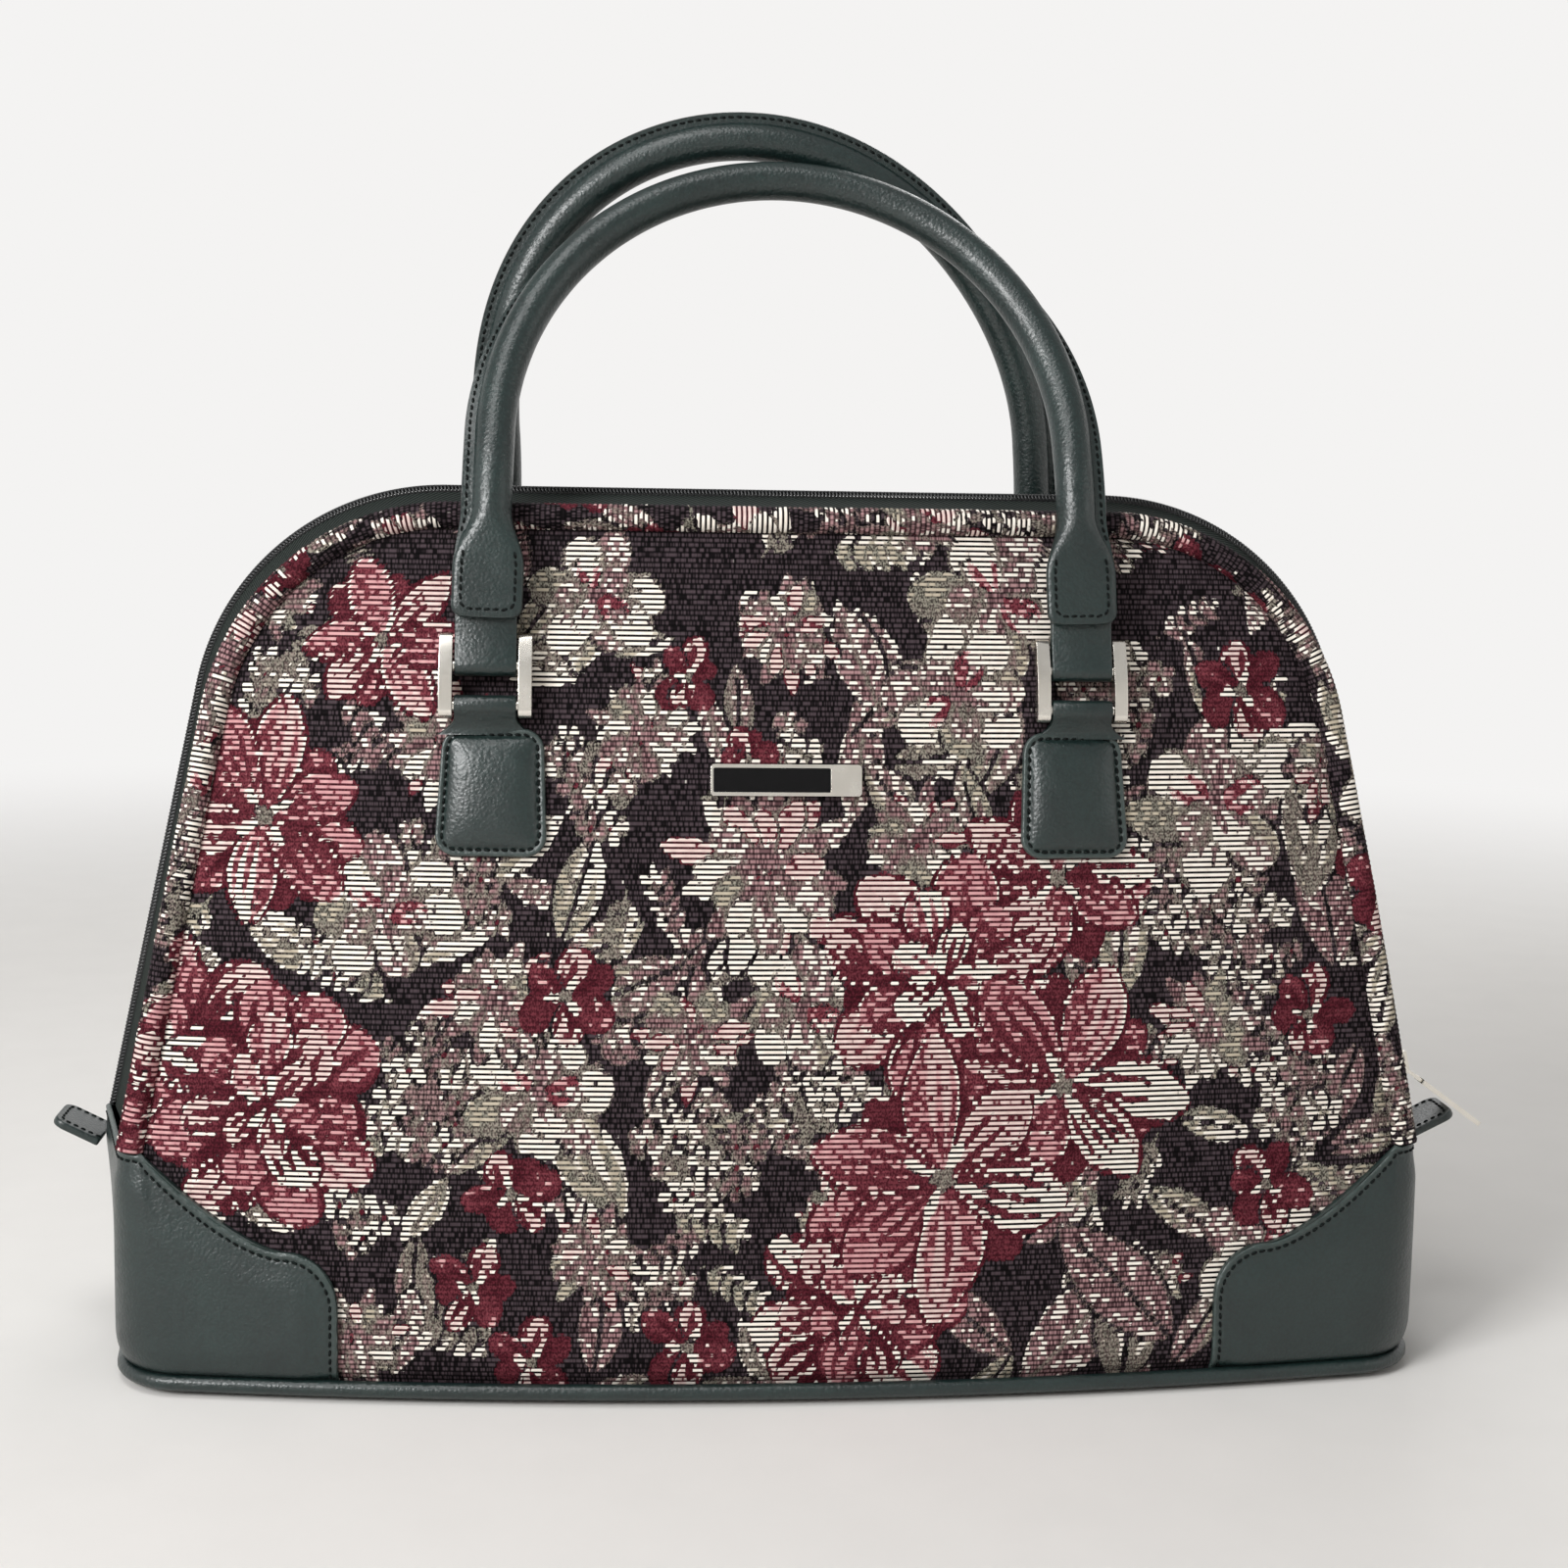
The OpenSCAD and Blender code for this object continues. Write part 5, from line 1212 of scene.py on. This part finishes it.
# Rolled leather handles with a sewn flange and flat tongues
def handle_line(low, high, roll, sway):
    """A handle's middle line from tongue to tongue: heights along the leg, share of tongue,
    points, and the directions out of the arch and off its face."""
    t = np.arange(0, HANDLE_L + 5, 0.5)
    lean_t = low + (high - low) * np.clip((t - BEND_FROM) / (BEND_TO - BEND_FROM), 0, 1)
    step = np.concatenate([[0], np.diff(t)])
    run_y, run_z = np.cumsum(np.sin(lean_t) * step), np.cumsum(np.cos(lean_t) * step)
    leg = np.linspace(TONGUE_FROM, LEG_L, 46, endpoint=False)
    leg = np.sort(np.append(leg, TONGUE_FROM + np.array([0.3, 0.8, 1.5, 2.4, 3.4])))
    p = np.radians(np.linspace(0, 90, 60))
    x = np.concatenate([FITTING_X + (ARCH_W / 2 - FITTING_X) * leg / LEG_L, ARCH_W / 2 * np.cos(p)])
    h = np.concatenate([leg, LEG_L + ARCH_H * np.sin(p)])
    g = np.concatenate([np.zeros(len(leg)), roll * np.sin(p)])
    x, h, g = np.concatenate([x, -x[-2::-1]]), np.append(h, h[-2::-1]), np.append(g, g[-2::-1])
    w = 1 - smooth((h - TONGUE_FROM - TONGUE_L) / BLEND_L)
    lean = np.interp(h, t, lean_t)
    off = -w * (STRAP_T + SEAM_GAP + TONGUE_T / 2)
    # Soft legs let the arch stand a little to one side.
    x = x + sway * smooth((h - TONGUE_FROM - TONGUE_L - BLEND_L) / (LEG_L + ARCH_H * 0.6))
    path = np.stack([x, UPPER_BAR_Y + np.interp(h, t, run_y) + off * np.cos(lean),
                     UPPER_BAR_Z + np.interp(h, t, run_z) - off * np.sin(lean)], -1)
    way = along(path)
    face = np.stack([np.zeros(len(x)), -np.cos(lean), np.sin(lean)], -1)
    side = unit(np.cross(face, way))
    nose = np.cross(way, side)
    out_dir = -(side * np.cos(g)[:, None] + nose * np.sin(g)[:, None])
    return h, w, path, out_dir, nose * np.cos(g)[:, None] - side * np.sin(g)[:, None]


def tongue_seams(h, path, out_dir, up_dir, a, b):
    """Stitches round three sides of each tongue."""
    turn, half = TONGUE_SEAM_TURN, TONGUE_W / 2 - TONGUE_STITCH_IN
    low = TONGUE_FROM + TONGUE_STITCH_IN + turn
    long = np.linspace(TONGUE_FROM + TONGUE_L + 4, low, 20)
    arc = np.radians(np.linspace(0, 90, 8))
    q = np.concatenate([np.full(20, half), half - turn + turn * np.cos(arc),
                        -half + turn - turn * np.sin(arc), np.full(20, -half)])
    height = np.concatenate([long, low - turn * np.sin(arc), low - turn * np.cos(arc), long[::-1]])
    rise = len(h) // 2 + 1

    def at(rows):
        return np.stack([np.interp(height, h[:rise], c[:rise]) for c in rows.T], -1)

    wide, thick = at(np.stack([a, b], -1)).T
    q = q * np.minimum(wide / (TONGUE_W / 2), 1)
    up = at(up_dir)
    line = at(path) + at(out_dir) * q[:, None] + up * (thick - 0.05)[:, None]
    return [stitches(line * [side, 1, 1], up * [side, 1, 1]) for side in (1, -1)]


def handle(name, node, body, low, high, roll, back, sway=0.0):
    h, w, path, out_dir, up_dir = handle_line(low, high, roll, sway)
    # The section goes from a flat tongue with a rounded end to a round grip with its flange.
    tip = np.clip((h - TONGUE_FROM) / TONGUE_TURN, 0, 1)
    corner = TONGUE_TURN * (1 - round_edge(h - TONGUE_FROM, TONGUE_TURN))
    a = GRIP_D / 2 * (1 - w) + TONGUE_W / 2 * w - corner * w
    b = (GRIP_D / 2 * (1 - w) + TONGUE_T / 2 * w) * np.where(tip < 1, 0.72 + 0.28 * np.sqrt(tip), 1)
    flange = np.maximum(FLANGE_W * (1 - w), 0.35)
    ft = np.minimum(FLANGE_T, b * 1.1) / 2
    power = 1 - 0.62 * w
    rows = [(a + flange, ft * 0.55), (a + flange * 0.93, ft), (a + flange * 0.4, ft * 1.03)]
    for k in np.radians(np.linspace(12, 348, 30)):
        ck, sk = math.cos(k), math.sin(k)
        rows.append((a * np.sign(ck) * abs(ck) ** power, b * np.sign(sk) * abs(sk) ** power))
    rows += [(a + flange * 0.4, -ft * 1.03), (a + flange * 0.93, -ft), (a + flange, -ft * 0.55)]
    rings = np.stack([path + out_dir * q0[:, None] + up_dir * q1[:, None] for q0, q1 in rows], 1)
    made = piece(name, flipped(swept(rings), False, back), LEATHER, body, node, 50)
    # The flange's cut edge is painted black.
    made.data.materials.append(EDGE_PAINT)
    m = len(rows)
    for f in made.data.polygons:
        ids = {v % m for v in f.vertices}
        if len(f.vertices) == 4 and ids <= {0, 1, m - 1, m - 2} and ids & {0, m - 1}:
            f.material_index = 1
    # Stitches along both faces of the flange, and on the tongues.
    keep = w < 0.35
    sewn = []
    for turn in (1, -1):
        line = path + out_dir * (a + flange * 0.5)[:, None] + up_dir * (turn * ft)[:, None]
        sewn.append(stitches(line[keep], (up_dir * turn)[keep]))
    sewn += tongue_seams(h, path, out_dir, up_dir, a, b)
    piece(name + "_stitches", flipped(joined(sewn), False, back), THREAD, body)


handle("front_handle_grip", "handle_front", "grip_front", LEG_LEAN, ARCH_LEAN, FLANGE_ROLL, False)
handle("back_handle_grip", "handle_back", "grip_back", BACK_LEAN, BACK_LEAN, 0.0, True, BACK_SWAY)

# Name plate: bare nickel with its black field
softened("name_plate", NICKEL, "bag", 0.25)
softened("plate_inlay", BLACK_ENAMEL, "bag", 0.12)


# Matt white paper with a faint tooth. Far from the bag it is plain white to the eye and in
# reflections, without more light.
def paper():
    m, s = finish_of("matt_paper_sweep")
    at = add(m, "TexCoord", out=3)
    tooth = add(m, "TexNoise", {"Vector": at, "Scale": 1 / (40 * MM), "Detail": 4.0})
    base = add(m, "Mix", {0: tooth, 6: linear("#e4e2df"), 7: linear("#eae8e5")}, **COLOURS)
    join(m, base, s["Base Color"])
    s["Roughness"].default_value = 0.9
    far = add(m, "VectorMath", {0: at}, out=1, operation="LENGTH")
    far = add(m, "MapRange", {0: far, 1: 0.7, 2: 1.9}, **SOFT)
    # Reflections see it white behind the bag and at its left, and dimmer in front, as in a room.
    across = add(m, "SeparateXYZ", {0: at})
    depth = add(m, "SeparateXYZ", {0: at}, out=1)
    depth = add(m, "Math", {0: across, 1: -0.7, 2: depth}, operation="MULTIPLY_ADD")
    behind = add(m, "MapRange", {0: depth, 1: -3.2, 2: 0.6, 3: 0.3, 4: 1.0})
    glossy, through = add(m, "LightPath", out=3), add(m, "LightPath", out=6)
    seen = add(m, "Math", {0: glossy, 1: through}, operation="MAXIMUM")
    seen = add(m, "Math", {0: seen, 1: behind}, operation="MULTIPLY")
    seen = add(m, "Math", {0: seen, 1: add(m, "LightPath")}, operation="MAXIMUM")
    white = add(m, "Math", {0: seen, 1: far}, operation="MULTIPLY")
    glow = add(m, "Emission", {0: linear("#f4f3f2"), 1: 1.0})
    shader = m.node_tree.nodes["Principled BSDF"].outputs[0]
    mixed = add(m, "MixShader", {0: white, 1: shader, 2: glow})
    join(m, mixed, m.node_tree.nodes["Material Output"].inputs[0])
    return m


# Floor that turns up all round into a wall, in metres
def sweep():
    flat, turn, wall, sides = 2.0, 0.7, 1.7, 72
    a = np.linspace(0, math.pi / 2, 16)[1:]
    r = np.concatenate([[0.02], np.linspace(0.4, flat, 5), flat + turn * np.sin(a), [flat + turn]])
    z = np.concatenate([np.zeros(6), turn - turn * np.cos(a), [wall]])
    b = np.linspace(0, 2 * math.pi, sides, endpoint=False)
    points = np.stack([r[:, None] * np.cos(b), r[:, None] * np.sin(b),
                       np.broadcast_to(z[:, None], (len(r), sides))], -1).reshape(-1, 3)
    faces = [tuple(map(int, f)) for f in quads(len(r), sides, False, True)]
    mesh = bpy.data.meshes.new("sweep")
    mesh.from_pydata(points.tolist(), [], faces + [tuple(range(sides - 1, -1, -1))])
    mesh.polygons.foreach_set("use_smooth", [True] * len(mesh.polygons))
    mesh.materials.append(paper())
    made = bpy.data.objects.new("sweep", mesh)
    bpy.context.scene.collection.objects.link(made)


def lamps():
    aim = Vector((0, 0, 0.2))
    for name, place, size, power in [
            ("soft_overhead", (-0.4, -0.5, 1.7), 0.8, 8), ("soft_left", (-1.25, -1.25, 1.1), 0.7, 30),
            ("soft_right", (1.7, -0.9, 0.9), 0.9, 2), ("soft_back", (0.4, 1.5, 1.5), 0.9, 9)]:
        lamp = bpy.data.lights.new(name, "AREA")
        lamp.energy, lamp.size = power, size
        made = bpy.data.objects.new(name, lamp)
        made.location = place
        made.rotation_euler = (aim - Vector(place)).to_track_quat("-Z", "Y").to_euler()
        bpy.context.scene.collection.objects.link(made)


def room():
    """The ceiling looks pale to the eye and in reflections, and lights the bag softly."""
    world = bpy.data.worlds.new("room")
    world.use_nodes = True
    eye, glossy, through = [add(world, "LightPath", out=k) for k in (0, 3, 6)]
    seen = add(world, "Math", {0: eye, 1: glossy}, operation="MAXIMUM")
    seen = add(world, "Math", {0: seen, 1: through}, operation="MAXIMUM")
    sky = world.node_tree.nodes["Background"].inputs
    sky[0].default_value = linear("#f4f3f2")
    join(world, add(world, "MapRange", {0: seen, 3: 0.28, 4: 0.5}), sky[1])
    bpy.context.scene.world = world


def camera():
    """The photograph's viewpoint: a little left of the middle, looking slightly down."""
    yaw, pitch, roll = math.radians(4.5), math.radians(7.819), math.radians(0.956)
    x, y, z = -0.066668, -0.899157, 0.346092
    ahead = Vector((math.sin(yaw) * math.cos(pitch), math.cos(yaw) * math.cos(pitch), -math.sin(pitch)))
    right = Vector((math.cos(yaw), -math.sin(yaw), 0))
    up = right.cross(ahead)
    right, up = (right * math.cos(roll) + up * math.sin(roll), up * math.cos(roll) - right * math.sin(roll))
    data = bpy.data.cameras.new("camera")
    data.sensor_width, data.lens = 36, 51.75
    data.clip_start, data.clip_end = 0.01, 50
    cam = bpy.data.objects.new("camera", data)
    cam.matrix_world = Matrix(((right.x, up.x, -ahead.x, x), (right.y, up.y, -ahead.y, y),
                               (right.z, up.z, -ahead.z, z), (0, 0, 0, 1)))
    bpy.context.scene.collection.objects.link(cam)
    bpy.context.scene.camera = cam


sweep()
lamps()
room()
camera()
bpy.context.scene.view_settings.view_transform = "Standard"

bpy.context.view_layer.update()
